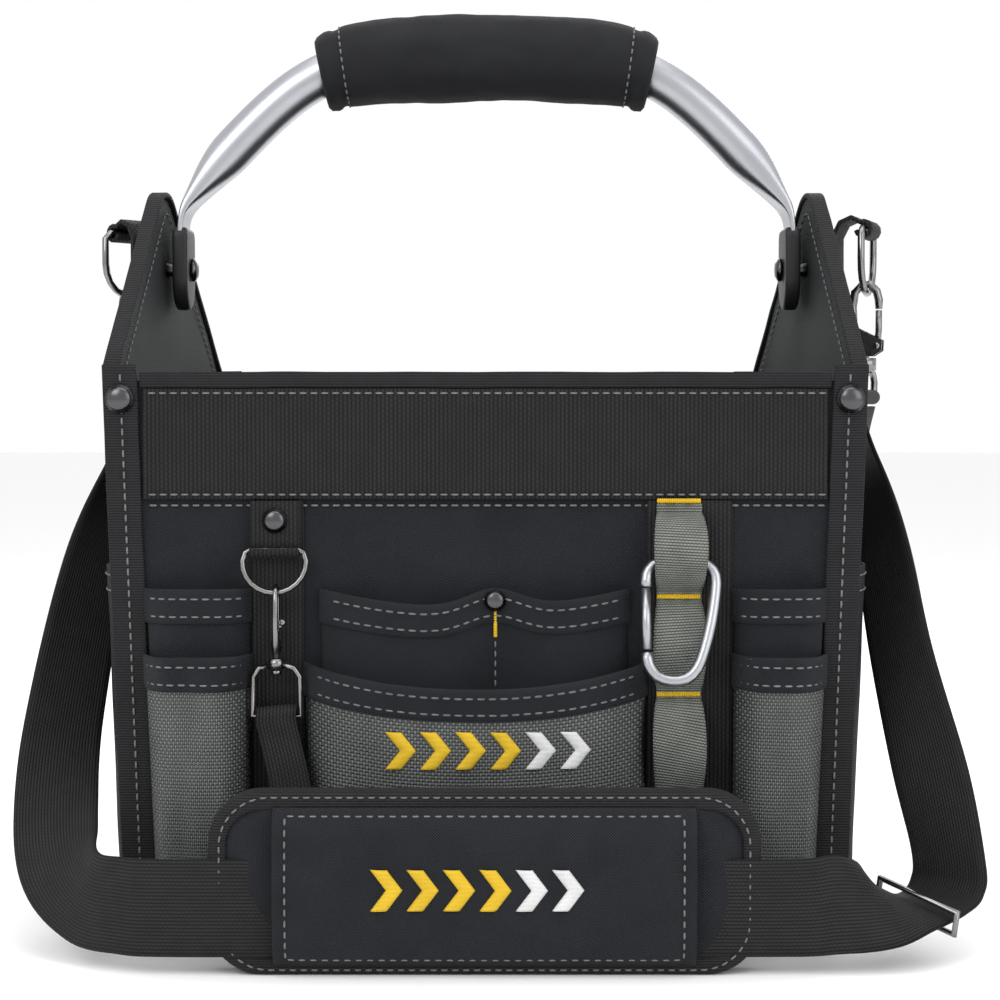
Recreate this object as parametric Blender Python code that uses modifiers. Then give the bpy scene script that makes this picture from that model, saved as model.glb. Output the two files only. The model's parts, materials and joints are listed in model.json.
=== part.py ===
"""Open-top tool tote: fabric walls over boards, a swinging tube handle, front pockets and a shoulder strap.

Frame: +Z up, the base rests on z = 0, the pocketed front faces -Y, x = 0 is the middle.
Lengths are millimetres.
"""

import math

import bmesh
import bpy
from mathutils import Matrix, Vector

MM = 0.001
GAP = 0.3

# Walls
FRONT_Y = -95.0
BACK_Y = 95.0
BASE_HALF_WIDTH = 148.0
LEAN = 0.0342  # the sides spread this much for each unit of height
TAPER = 0.1105  # and come together this much for each unit towards the back
WALL_T = 2.0
BOARD_T = 1.7
SIDE_T = 4.0
BASE_T = 2.4
WALL_BOTTOM = BASE_T + GAP
WALL_TOP = 231.5
HEM_TOP = 235.0
HEM_DEPTH = 6.5
TAPE_T = 1.8
BINDING_W = 14.0
FRONT_FACE = FRONT_Y - GAP

# Side peaks
PEAK_Z = 299.0
PEAK_R = 15.0
PEAK_CORNER = (92.7, 232.0)

# Handle
PIVOT_Z = 282.0
TONGUE_X = 136.1
TONGUE_T = 2.8
TONGUE_W = 25.0
TUBE_R = 9.5
GRIP_R = 19.8
GRIP_HALF = 75.0
BRACKET_X = (132.7, 139.4)
BRACKET_W = 28.0
BRACKET_TOP = 300.0
SCREW_R = 3.0

# Shoulder strap and its fittings
STRAP_W = 38.0
STRAP_T = 1.6
STRAP_Y = -147.0
STRAP_Z = 26.5
PAD_HALF = 106.5
PAD_H = 71.0
COVER_Z = (5.0, 65.0)
PAD_T = 10.0
RING_BAR = (171.0, 300.0)
HOOK_X = -0.2
# How each side's ring and hook stand: (turn in degrees, about this x, shift in x and y, turn of the eye)
FITTINGS = {1: (-20.0, 171.0, (0.0, 0.0), -20.0), -1: (40.0, 153.0, (-2.0, 16.0), 0.0)}
SLIDER_AXIS = (0.81, 0.58, -0.05)
WIRE_R = 1.6

# Clips at the front
TAB_X = -85.7
DRING_Z = 162.5
DRING_Y = -100.4
DRING_LEAN = 12.0
CLIP = (-84.7, -104.1, 145.4)
CARABINER = (79.0, -102.0, 157.0)
CARABINER_LEAN = 16.0
CARABINER_R = 2.4


def clear_scene():
    for old in list(bpy.data.objects):
        bpy.data.objects.remove(old, do_unlink=True)


def collection(name):
    made = bpy.data.collections.new(name)
    bpy.context.scene.collection.children.link(made)
    return made


def material(name, colour, roughness, metallic=0.0):
    made = bpy.data.materials.new(name)
    made.use_nodes = True
    shader = made.node_tree.nodes["Principled BSDF"]
    shader.inputs["Base Color"].default_value = (*colour, 1.0)
    shader.inputs["Roughness"].default_value = roughness
    shader.inputs["Metallic"].default_value = metallic
    return made


def side_x(y, z):
    """Outer surface of the side wall, on the +X side."""
    return BASE_HALF_WIDTH + LEAN * z - TAPER * (y - FRONT_Y)


def smooth_path(points, steps):
    """Points along a smooth curve through the given ones, steps to a span."""
    points = [Vector(p) for p in points]
    ends = [2 * points[0] - points[1], *points, 2 * points[-1] - points[-2]]
    found = []
    for a, b, c, d in zip(ends, ends[1:], ends[2:], ends[3:]):
        for i in range(steps):
            t = i / steps
            square = (2 * a - 5 * b + 4 * c - d) * t * t
            cube = (3 * b - 3 * c + d - a) * t**3
            found.append(0.5 * (2 * b + (c - a) * t + square + cube))
    return [*found, points[-1]]


def arc(centre, radius, start, end, count):
    """Points on an arc, angles in degrees."""
    angles = [math.radians(start + (end - start) * i / (count - 1)) for i in range(count)]
    return [(centre[0] + radius * math.cos(a), centre[1] + radius * math.sin(a)) for a in angles]


def add(name, mesh, look):
    obj = bpy.data.objects.new(name, mesh)
    PARTS.objects.link(obj)
    mesh.materials.clear()
    mesh.materials.append(look)
    return obj


def finish_mesh(mesh, matrix=None):
    """Welds caps, places the mesh and turns its faces outwards."""
    bm = bmesh.new()
    bm.from_mesh(mesh)
    bmesh.ops.remove_doubles(bm, verts=bm.verts, dist=0.00001)
    if matrix is not None:
        bm.transform(matrix)
    bm.normal_update()
    bmesh.ops.recalc_face_normals(bm, faces=bm.faces)
    bm.to_mesh(mesh)
    bm.free()
    mesh.set_sharp_from_angle(angle=math.radians(40))


def meshed(curve_data, matrix=None):
    """The mesh that a curve evaluates to, closed and placed."""
    obj = bpy.data.objects.new("profile", curve_data)
    bpy.context.scene.collection.objects.link(obj)
    graph = bpy.context.evaluated_depsgraph_get()
    mesh = bpy.data.meshes.new_from_object(obj.evaluated_get(graph))
    bpy.data.objects.remove(obj)
    finish_mesh(mesh, matrix)
    return mesh


AXES = {
    "X": Matrix(((0, 0, 1, 0), (1, 0, 0, 0), (0, 1, 0, 0), (0, 0, 0, 1))),
    "Y": Matrix(((1, 0, 0, 0), (0, 0, -1, 0), (0, 1, 0, 0), (0, 0, 0, 1))),
    "Z": Matrix.Identity(4),
}


def extruded(name, outlines, low, high, axis, look):
    """A flat outline, with any holes, extruded from low to high along an axis.

    The outline's pair of coordinates is (y, z) for X, (x, z) for Y and (x, y) for Z.
    """
    data = bpy.data.curves.new(name, "CURVE")
    data.dimensions = "2D"
    data.fill_mode = "BOTH"
    data.extrude = (high - low) / 2 * MM
    for outline in outlines:
        spline = data.splines.new("POLY")
        spline.points.add(len(outline) - 1)
        spline.use_cyclic_u = True
        for point, (a, b) in zip(spline.points, outline):
            point.co = (a * MM, b * MM, 0, 1)
    shift = {"X": (1, 0, 0), "Y": (0, 1, 0), "Z": (0, 0, 1)}[axis]
    middle = Matrix.Translation(Vector(shift) * (low + high) / 2 * MM)
    return add(name, meshed(data, middle @ AXES[axis]), look)


def wire(name, points, radius, look, closed=False, sides=2, radii=None):
    """A round wire or rod through the points."""
    data = bpy.data.curves.new(name, "CURVE")
    data.dimensions = "3D"
    data.bevel_depth = radius * MM
    data.bevel_resolution = sides
    data.use_fill_caps = True
    spline = data.splines.new("POLY")
    spline.points.add(len(points) - 1)
    spline.use_cyclic_u = closed
    for i, (point, place) in enumerate(zip(spline.points, points)):
        point.co = (*(Vector(place) * MM), 1)
        point.radius = radii[i] if radii else 1.0
    obj = add(name, meshed(data), look)
    obj.data.shade_smooth()
    return obj


def turned(name, profile, matrix, look, steps=16):
    """A turned piece: (radius, height) pairs run down its outer side, axis to axis."""
    mesh = bpy.data.meshes.new(name)
    points = [(r * MM, 0, h * MM) for r, h in profile]
    mesh.from_pydata(points, [(i, i + 1) for i in range(len(points) - 1)], [])
    obj = add(name, mesh, look)
    screw = obj.modifiers.new("turn", "SCREW")
    screw.steps = steps
    screw.render_steps = steps
    screw.use_merge_vertices = True
    screw.merge_threshold = 0.00001
    obj.matrix_world = matrix
    return obj


def surface(name, place, columns, rows, thickness, look, offset=-1.0):
    """An open grid bent by place(u, v), u and v from 0 to 1, made solid."""
    bm = bmesh.new()
    bmesh.ops.create_grid(bm, x_segments=columns, y_segments=rows, size=0.5)
    for vert in bm.verts:
        vert.co = Vector(place(vert.co.x + 0.5, vert.co.y + 0.5)) * MM
    mesh = bpy.data.meshes.new(name)
    bm.to_mesh(mesh)
    bm.free()
    obj = add(name, mesh, look)
    solid = obj.modifiers.new("thickness", "SOLIDIFY")
    solid.thickness = thickness * MM
    solid.offset = offset
    obj.data.shade_smooth()
    return obj


def shear_to_side(obj, side):
    """Turns a plate drawn at x = offset from the side plane into that leaning, tapered plane."""
    slope = Matrix.Identity(4)
    slope[0][1] = -TAPER
    slope[0][2] = LEAN
    base = Matrix.Translation(Vector((side_x(0, 0), 0, 0)) * MM)
    mirror = Matrix.Scale(side, 4, Vector((1, 0, 0)))
    finish_mesh(obj.data, mirror @ base @ slope)


def boolean(obj, other, operation):
    modifier = obj.modifiers.new(operation.lower(), "BOOLEAN")
    modifier.operation = operation
    modifier.object = other
    other.hide_render = True
    other.display_type = "WIRE"
    if other.name in PARTS.objects:
        PARTS.objects.unlink(other)
        CUTTERS.objects.link(other)


def rod(name, radius, start, end, look, sides=16):
    """A plain cylinder between two points."""
    bm = bmesh.new()
    start, end = Vector(start), Vector(end)
    size = {"radius1": radius * MM, "radius2": radius * MM, "depth": (end - start).length * MM}
    bmesh.ops.create_cone(bm, cap_ends=True, segments=sides, **size)
    turn = (end - start).to_track_quat("Z", "Y").to_matrix().to_4x4()
    bm.transform(Matrix.Translation((start + end) / 2 * MM) @ turn)
    mesh = bpy.data.meshes.new(name)
    bm.to_mesh(mesh)
    bm.free()
    return add(name, mesh, look)


def mirrored(outline):
    return [(-a, b) for a, b in outline]


def wall_outline(y, low, high, inset):
    """A wall's outline in x and z, narrower than the sides by inset."""
    right = [(side_x(y, low) - inset, low), (side_x(y, high) - inset, high)]
    return right + mirrored(right)[::-1]


def plan_outline(inset, z):
    front, back = FRONT_Y + inset, BACK_Y - inset
    right = [(side_x(front, z) - inset, front), (side_x(back, z) - inset, back)]
    return right + mirrored(right)[::-1]


def peak_outline(grow):
    """The side panel's upper edge in y and z, moved outwards by grow."""
    corner_y, corner_z = PEAK_CORNER
    rise, run = PEAK_Z - corner_z, corner_y
    tangent = 90 + math.degrees(math.atan2(rise, run) + math.asin(PEAK_R / math.hypot(rise, run)))
    normal = (math.cos(math.radians(tangent)), math.sin(math.radians(tangent)))
    along = (normal[1] * 6, -normal[0] * 6)
    start = (-corner_y + along[0] + normal[0] * grow, corner_z + along[1] + normal[1] * grow)
    top = arc((0, PEAK_Z), PEAK_R + grow, tangent, 180 - tangent, 9)
    return [start, *top, (-start[0], start[1])]


def make_walls():
    base = extruded("base_panel", [plan_outline(0, 0)], 0, BASE_T, "Z", TRIM)
    bevel = base.modifiers.new("edge", "BEVEL")
    bevel.width = 1.0 * MM
    bevel.segments = 2
    bevel.limit_method = "ANGLE"
    extruded("base_board", [plan_outline(6, 3)], WALL_BOTTOM, WALL_BOTTOM + 3, "Z", BOARD)
    for name, sign in (("front", 1), ("back", -1)):
        outer = sign * FRONT_Y
        panel = sorted((outer, outer + sign * WALL_T))
        board_start = outer + sign * (WALL_T + GAP)
        board = sorted((board_start, board_start + sign * BOARD_T))
        extruded(f"{name}_panel", [wall_outline(outer, WALL_BOTTOM, WALL_TOP, 0.4)], *panel, "Y", FABRIC)
        extruded(f"{name}_board", [wall_outline(outer, WALL_BOTTOM, WALL_TOP, 7)], *board, "Y", BOARD)
        make_hem(name, outer, sign)
    for name, side in (("left", -1), ("right", 1)):
        corner_y, corner_z = PEAK_CORNER
        low = [(corner_y, WALL_BOTTOM), (-corner_y, WALL_BOTTOM), (-corner_y, corner_z)]
        outline = [*low, *peak_outline(0), PEAK_CORNER]
        panel = extruded(f"{name}_side_panel", [outline], -SIDE_T, 0, "X", LINING)
        shear_to_side(panel, side)
        cut_screw_hole(panel, side)
        band = peak_outline(2.6) + peak_outline(GAP)[::-1]
        cap = extruded(f"{name}_peak_binding", [band], -SIDE_T - 1.4, 1.4, "X", TRIM)
        shear_to_side(cap, side)


def cut_screw_hole(obj, side):
    name = f"{obj.name}_hole"
    cutter = rod(name, SCREW_R + GAP, (side * 120, 0, PIVOT_Z), (side * 160, 0, PIVOT_Z), TRIM)
    boolean(obj, cutter, "DIFFERENCE")


def make_hem(name, outer, sign):
    """The tape folded over a wall's top edge, an upside-down channel."""
    outside, inside = outer - sign * (GAP + TAPE_T), outer + sign * HEM_DEPTH
    slot_out, slot_in = outer - sign * GAP, outer + sign * (WALL_T + BOARD_T + 2 * GAP)
    low, roof = HEM_TOP - 6.5, WALL_TOP + GAP
    profile = [
        (outside, low), (slot_out, low), (slot_out, roof), (slot_in, roof),
        (slot_in, low), (inside, low), (inside, HEM_TOP), (outside, HEM_TOP),
    ]
    half = side_x(outer, WALL_TOP) - BINDING_W - 1
    extruded(f"{name}_hem", [profile], -half, half, "X", TRIM)


def make_bindings():
    """The tapes up the four upright edges, and the rivets at the front ones' tops."""
    for face, y, sign in (("front", FRONT_Y, -1), ("back", BACK_Y, 1)):
        low, high = WALL_BOTTOM, HEM_TOP + 3
        span = sorted((y + sign * GAP, y + sign * (GAP + TAPE_T)))
        outer = [(side_x(y, low), low), (side_x(y, high), high)]
        inner = [(x - BINDING_W, z) for x, z in outer[::-1]]
        for name, flip in (("left", True), ("right", False)):
            outline = mirrored(outer + inner) if flip else outer + inner
            extruded(f"{face}_{name}_binding", [outline], *span, "Y", TRIM)
    for name, side in (("left", -1), ("right", 1)):
        x = side * (side_x(FRONT_Y, 224) - BINDING_W / 2)
        rivet(f"{name}_corner_rivet", (x, FRONT_FACE - TAPE_T - GAP, 224), 5.4, 3.2)


def rivet(name, place, radius, height, direction=(0, -1, 0)):
    """A domed rivet head on a flat washer rim."""
    dome = [(radius * math.cos(a), 0.8 + (height - 0.8) * math.sin(a)) for a in (1.57, 1.2, 0.8, 0.4, 0)]
    dome[0] = (0, height)
    profile = [*dome[:-1], (radius * 0.92, 0.9), (radius * 1.12, 0.6), (radius * 1.12, 0), (0, 0)]
    turn = Vector(direction).to_track_quat("Z", "Y").to_matrix().to_4x4()
    return turned(name, profile, Matrix.Translation(Vector(place) * MM) @ turn, STEEL)


def pocket(name, bottom, top, low, high, depth, look, columns=14, rows=8, dip=0.0, pin=None):
    """A pocket front: a sheet that bulges from its side seams and closes at its foot.

    bottom and top are (left x, right x); depth is how far its mouth stands out; it dips between its
    seams, and between them and the place (from 0 to 1) where it is pinned to the wall.
    """

    def place(u, v):
        left = bottom[0] + (top[0] - bottom[0]) * v
        right = bottom[1] + (top[1] - bottom[1]) * v
        x = left + (right - left) * u
        across = (1 - abs(2 * u - 1) ** 4.0) ** 0.7 if 0 < u < 1 else 0
        up = min(1.0, v / 0.12) ** 0.6 if v > 0 else 0
        sag = 1 - (2 * u - 1) ** 2
        if pin is not None:
            hold = math.exp(-(((u - pin) / 0.13) ** 2))
            across *= 1 - 0.8 * hold
            sag *= 1 - hold
        z = low + (high - low) * v - dip * v * sag
        return x, FRONT_FACE - depth * across * up, z

    return surface(name, place, columns, rows, 1.4, look, offset=1.0)


def make_front():
    band_low, band_high = 183.0, 228.2
    half = side_x(FRONT_Y, band_low) - BINDING_W - 0.6
    band = [(-half, band_low), (half, band_low), (half, band_high), (-half, band_high)]
    extruded("top_band", [band], FRONT_FACE - TAPE_T, FRONT_FACE, "Y", WEBBING)
    for name, left, right in (("left_strip", -95.4, -74.2), ("right_strip", 66.1, 100.9)):
        outline = [(left, WALL_BOTTOM), (right, WALL_BOTTOM), (right, band_low - GAP), (left, band_low - GAP)]
        extruded(name, [outline], FRONT_FACE - 1.3, FRONT_FACE, "Y", WEBBING)
    for name, side, inner in (("left", -1, 97.0), ("right", 1, 102.5)):
        low, high = [side_x(FRONT_Y, z) - BINDING_W - 2.6 for z in (6, 146)]
        for level, inset, foot, mouth, depth, look in (
            ("upper", 2, 40, 146, 9, FABRIC), ("lower", 0, 6, 119.5, 21, BALLISTIC)
        ):
            bottom, top = [sorted((side * (inner + inset), side * (x - inset))) for x in (low, high)]
            pocket(f"{name}_{level}_pocket", bottom, top, foot, mouth, depth, look)
    pinned = {"columns": 26, "rows": 9, "dip": 7, "pin": 0.57}
    pocket("centre_upper_pocket", (-66, 57), (-66, 57), 40, 146, 12, FABRIC, **pinned)
    pocket("centre_lower_pocket", (-72.5, 64.5), (-72.5, 64.5), 6, 116, 24, BALLISTIC, columns=18, dip=9)
    rivet("pocket_rivet", (4, FRONT_FACE - 12 * 0.2 - 2.8, 142), 4.0, 2.4)
    make_side_pockets()


def make_side_pockets():
    for name, side in (("left", -1), ("right", 1)):

        def place(u, v, side=side):
            y, z = -78 + 156 * u, 8 + 146 * v
            across = (1 - abs(2 * u - 1) ** 4.0) ** 0.7 if 0 < u < 1 else 0
            up = min(1.0, v / 0.12) ** 0.6 if v > 0 else 0
            return side * (side_x(y, z) + 0.5 + 13 * across * up), y, z

        surface(f"{name}_side_pocket", place, 14, 8, 1.4, FABRIC, offset=float(side))


def loft(name, path, sections, look, sides=16):
    """A closed loft along a path in x and z; a section is (half thickness, half width in y, squareness)."""
    bm = bmesh.new()
    rings = []
    for i, (point, (thick, wide, power)) in enumerate(zip(path, sections)):
        ahead = path[min(i + 1, len(path) - 1)] - path[max(i - 1, 0)]
        normal = Vector((ahead.z, 0, -ahead.x)).normalized()
        ring = []
        for k in range(sides):
            a = 2 * math.pi * (k + 0.5) / sides
            c, s = math.cos(a), math.sin(a)
            across = math.copysign(abs(c) ** power, c) * thick
            along = math.copysign(abs(s) ** power, s) * wide
            ring.append(bm.verts.new((point + normal * across + Vector((0, along, 0))) * MM))
        rings.append(ring)
    for near, far in zip(rings, rings[1:]):
        for k in range(sides):
            bm.faces.new((near[k], near[k - 1], far[k - 1], far[k]))
    bm.faces.new(rings[0])
    bm.faces.new(rings[-1])
    bmesh.ops.recalc_face_normals(bm, faces=bm.faces)
    mesh = bpy.data.meshes.new(name)
    bm.to_mesh(mesh)
    bm.free()
    mesh.set_sharp_from_angle(angle=math.radians(40))
    return add(name, mesh, look)


# The right half of the handle's centre line, from the tongue's foot to the middle of the grip, as (x, z)
HANDLE_HALF = (
    (136.1, 275.2), (136.1, 290), (136.1, 301), (134.2, 309), (129, 317), (120, 328.5), (108, 341.5),
    (95, 354), (82, 364), (68, 371), (50, 374.6), (25, 376), (0, 376.3),
)


def handle_path():
    right = [Vector((x, 0, z)) for x, z in HANDLE_HALF]
    left = [Vector((-p.x, 0, p.z)) for p in right[:-1]]
    return [*left, right[-1], *right[:-1][::-1]]


def handle_section(point):
    """Flat at the tongue, round from about z = 336 up."""
    t = min(1.0, max(0.0, (point.z - 302) / 34))
    ease = t * t * (3 - 2 * t)
    thick = TONGUE_T / 2 + (TUBE_R - TONGUE_T / 2) * ease
    wide = TONGUE_W / 2 + (TUBE_R - TONGUE_W / 2) * ease
    return thick, wide, 0.35 + 0.65 * ease


def make_handle():
    path = smooth_path(handle_path(), 2)
    tube = loft("handle_tube", path, [handle_section(p) for p in path], ALUMINIUM)
    across = rod("tube_hole", SCREW_R + GAP, (-145, 0, PIVOT_Z), (145, 0, PIVOT_Z), TRIM)
    boolean(tube, across, "DIFFERENCE")
    inside = [p for p in path if abs(p.x) <= GRIP_HALF + 10]
    core = loft("grip_bore", inside, [(TUBE_R + 0.4, TUBE_R + 0.4, 1.0)] * len(inside), TRIM)
    held = [p for p in path if abs(p.x) <= GRIP_HALF]
    swell = [GRIP_R - 3.5 * (abs(p.x) / GRIP_HALF) ** 6 for p in held]
    grip = loft("handle_grip", held, [(r, r, 1.0) for r in swell], GRIP)
    boolean(grip, core, "DIFFERENCE")
    for name, side in (("left", -1), ("right", 1)):
        make_bracket(name, side)


def make_bracket(name, side):
    """The moulded socket over the handle's flat end, and the screw it turns on."""
    half = BRACKET_W / 2
    outline = [*arc((0, PIVOT_Z - 4), half, 180, 360, 11), (half, BRACKET_TOP), (-half, BRACKET_TOP)]
    low, high = sorted((side * BRACKET_X[0], side * BRACKET_X[1]))
    bracket = extruded(f"{name}_handle_bracket", [outline], low, high, "X", MOULDED)
    slot = TONGUE_W / 2 + GAP
    opening = [(-slot, 274.8), (slot, 274.8), (slot, 310), (-slot, 310)]
    inner, outer = sorted((side * (TONGUE_X - 1.4 - GAP), side * (TONGUE_X + 1.4 + GAP)))
    boolean(bracket, extruded(f"{name}_slot", [opening], inner, outer, "X", TRIM), "DIFFERENCE")
    cut_screw_hole(bracket, side)
    reach = side_x(0, PIVOT_Z) + 1.3 - (BRACKET_X[0] - 3.4)
    profile = [
        (0, 0), (3.0, 0.3), (5.2, 1.6), (5.2, 3.0), (SCREW_R, 3.0), (SCREW_R, reach), (6.2, reach),
        (6.2, reach + 1.6), (0, reach + 1.6),
    ]
    place = Matrix.Translation(Vector((side * (BRACKET_X[0] - 3.4), 0, PIVOT_Z)) * MM)
    turn = Vector((-side, 0, 0)).to_track_quat("Z", "Y").to_matrix().to_4x4()
    down = [(r, -h) for r, h in profile]
    turned(f"{name}_pivot_screw", down, place @ turn, STEEL)


def ribbon_profile(path, thickness):
    """The outline of a strip of webbing seen edge-on, along a 2D path."""
    points = [Vector(p) for p in path]
    sides = ([], [])
    for i, point in enumerate(points):
        along = (points[min(i + 1, len(points) - 1)] - points[max(i - 1, 0)]).normalized()
        normal = Vector((along.y, -along.x)) * thickness / 2
        sides[0].append(tuple(point + normal))
        sides[1].append(tuple(point - normal))
    return sides[0] + sides[1][::-1]


def turned_about(x, degrees):
    pin = Vector((x, 0, 0))
    return Matrix.Translation(pin) @ Matrix.Rotation(math.radians(degrees), 4, "Z") @ Matrix.Translation(-pin)


def fitting_place(side):
    """Takes a shoulder-strap fitting drawn on the right, its ring's bar along Y, to its place (in mm)."""
    turn, about, shift, _ = FITTINGS[side]
    mirror = Matrix.Scale(side, 4, Vector((1, 0, 0)))
    return mirror @ Matrix.Translation((*shift, 0)) @ turned_about(about, turn)


def place_fitting(obj, side, eye=False):
    place = fitting_place(side)
    if eye:
        place = place @ turned_about(RING_BAR[0] + HOOK_X, FITTINGS[side][3] - FITTINGS[side][0])
    scale = Matrix.Scale(MM, 4)
    finish_mesh(obj.data, scale @ place @ scale.inverted())


def make_strap_fittings():
    bar_x, bar_z = RING_BAR
    for name, side in (("left", -1), ("right", 1)):
        up = [(157.5, 268), (157.5, 297), (160.5, 303)]
        loop = arc((bar_x, bar_z), 3.4, 120, -170, 10)
        profile = ribbon_profile([*up, (165.5, 305.2), *loop], 2.0)
        tab = extruded(f"{name}_strap_tab", [profile], -10.5, 10.5, "Y", WEBBING)
        place_fitting(tab, side)
        half = 14.5
        bow = arc((0, bar_z - 14), half, 180, 360, 11)
        corners = [(-half, bar_z - 3), (-half + 3, bar_z), (half - 3, bar_z), (half, bar_z - 3)]
        round_ring = [(bar_x, y, z) for y, z in [*corners, *bow[::-1]]]
        ring = wire(f"{name}_strap_ring", round_ring, WIRE_R, STEEL, True, 1)
        place_fitting(ring, side)
        make_hook(name, side, (bar_x + HOOK_X, bar_z - 14 - half))


def make_hook(name, side, hang):
    """The trigger hook on the ring, its gate, and the swivel eye that the strap is sewn to."""
    x, z = hang
    bow = [
        (0, -37), (0, -35.5), (0, -35), (0, -28), (0, -25), (-4.5, -21), (-6, -16), (-6.2, -6),
        (-5.2, 0.5), (-2.2, 4), (1.5, 4), (4.6, 1), (5.6, -3), (5.6, -7),
    ]
    radii = [1.9, 1.9, 0.9, 0.9, 1.6, 1.8, 1.4, 1.2, 1.2, 1.2, 1.2, 1.2, 1.2, 1.0]
    hook = wire(f"{name}_hook", [(x + a, 0, z + b) for a, b in bow], WIRE_R, STEEL, False, 1, radii)
    place_fitting(hook, side)
    tongue = [(x + 5.6, 0, z - 7.6), (x + 5.6, 0, z - 16), (x + 5.1, 0, z - 23.5)]
    gate = wire(f"{name}_hook_gate", tongue, 1.5, STEEL, False, 1)
    place_fitting(gate, side)
    barrel_top, barrel_low = z - 29.0, z - 34.5
    barrel = rod(f"{name}_swivel_eye", 4.6, (x, 0, barrel_low), (x, 0, barrel_top), STEEL, 12)
    wide, deep = 20.5, 12.0
    loop = [
        (-4, barrel_low + 2.4), (-wide + 4, barrel_low - 1),
        (-wide, barrel_low - 5), (-wide + 1, barrel_low - deep),
        (wide - 1, barrel_low - deep), (wide, barrel_low - 5),
        (wide - 4, barrel_low - 1), (4, barrel_low + 2.4),
    ]
    eye = wire(f"{name}_eye_wire", [(x, a, b) for a, b in loop], WIRE_R, STEEL, False, 1)
    bore = rod(f"{name}_eye_bore", 1.44 + GAP, (x, 0, barrel_low - 5), (x, 0, barrel_top + 5), STEEL, 12)
    for piece in (barrel, eye, bore):
        place_fitting(piece, side, eye=True)
    boolean(barrel, eye, "UNION")
    boolean(barrel, bore, "DIFFERENCE")


def make_front_clip():
    """The riveted tab, its ring, and the small hook that holds a webbing lanyard."""
    half, bar_y, bar_z = 10.0, DRING_Y, DRING_Z
    loop = arc((bar_y, bar_z), 2.6, 60, -200, 10)
    path = [(-98.0, 182.4), (-98.0, bar_z + 6), (-98.2, bar_z + 3.5), *loop[1:]]
    extruded("front_tab", [ribbon_profile(path, 1.4)], TAB_X - half, TAB_X + half, "X", WEBBING)
    rivet("front_tab_rivet", (TAB_X, -99.0, 174.5), 4.6, 2.8)
    wide = 13.0
    bow = arc((0, -4.5), wide, 180, 360, 13)
    corners = [(wide - 1, -1), (wide - 3, 0), (3 - wide, 0), (1 - wide, -1)]
    ring = wire("front_ring", [(x, 0, z) for x, z in [*bow, *corners]], 1.2, STEEL, True, 1)
    lean = Matrix.Rotation(-math.radians(DRING_LEAN), 4, "X")
    finish_mesh(ring.data, Matrix.Translation(Vector((TAB_X, bar_y, bar_z)) * MM) @ lean)
    x, y, low = CLIP
    bow = [
        (0, -33), (0, -31.5), (0, -31), (0, -26.5), (0, -24), (-2.6, -20), (-4.4, -14), (-4.4, -4),
        (-3.2, 0.6), (0, 2.9), (3.2, 0.6), (4.0, -3), (4.0, -15.5), (2.4, -20.5),
    ]
    radii = [1.9, 1.9, 0.8, 0.8, 1.8, 1.6, 1.1, 1, 1, 1, 1, 1, 0.9, 0.8]
    hook = wire("clip_hook", [(0, a, b) for a, b in bow], 1.1, STEEL, False, 1, radii)
    finish_mesh(hook.data, Matrix.Translation(Vector(CLIP) * MM))
    eye = rod("clip_eye", 3.2, (x, y, low - 30.6), (x, y, low - 26.8), STEEL, 12)
    frame = [
        (-2.4, -29), (-7, -30.5), (-9.5, -34), (-10, -50),
        (10, -50), (9.5, -34), (7, -30.5), (2.4, -29),
    ]
    loop = wire("clip_eye_wire", [(x + a, y, low + b) for a, b in frame], 1.2, STEEL, False, 1)
    bore = rod("clip_eye_bore", 1.2, (x, y, low - 35), (x, y, low - 20), STEEL, 12)
    boolean(eye, loop, "UNION")
    boolean(eye, bore, "DIFFERENCE")


LANYARD = (
    (-84.7, -101.4, 89), (-84.7, -101.2, 93), (-84.7, -101.9, 97.3), (-84.7, -104.1, 98.9),
    (-84.7, -106.3, 97.3), (-84.7, -106.8, 93), (-83, -107.5, 86), (-79.5, -110.5, 72), (-77.5, -112.5, 59),
)


def ribbon(name, stations, width, thickness, look, steps=4, across=1):
    """A strap: stations are (centre, width direction), smoothed between."""
    centres = smooth_path([c for c, _ in stations], steps)
    ways = smooth_path([w for _, w in stations], steps)
    rows = len(centres) - 1

    def place(u, v):
        i = min(rows, round(v * rows))
        return centres[i] + ways[i].normalized() * (u - 0.5) * width

    obj = surface(name, place, across, rows, thickness, look, offset=0.0)
    obj.modifiers["thickness"].use_even_offset = False
    return obj


def make_daisy_chain():
    """Webbing sewn down in bars, standing off in loops between them."""
    flat = -98.1
    path = [(flat, 181.5), (flat, 179)]
    for top, low, out, skew in ((177, 146, 11.5, 0.806), (141, 106, 7.0, 1.0), (101, 62, 7.0, 0.833)):
        for i in range(9):
            t = i / 8
            bulge = max(0.0, math.sin(math.pi * t**skew)) ** 0.8
            path.append((flat - out * bulge, top + (low - top) * t))
    path += [(flat, 58)]
    outline = ribbon_profile(path, 1.3)
    chain = extruded("daisy_chain", [outline], CARABINER[0] - 11, CARABINER[0] + 11, "X", GREY_WEBBING)
    finish_mesh(chain.data)


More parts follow.
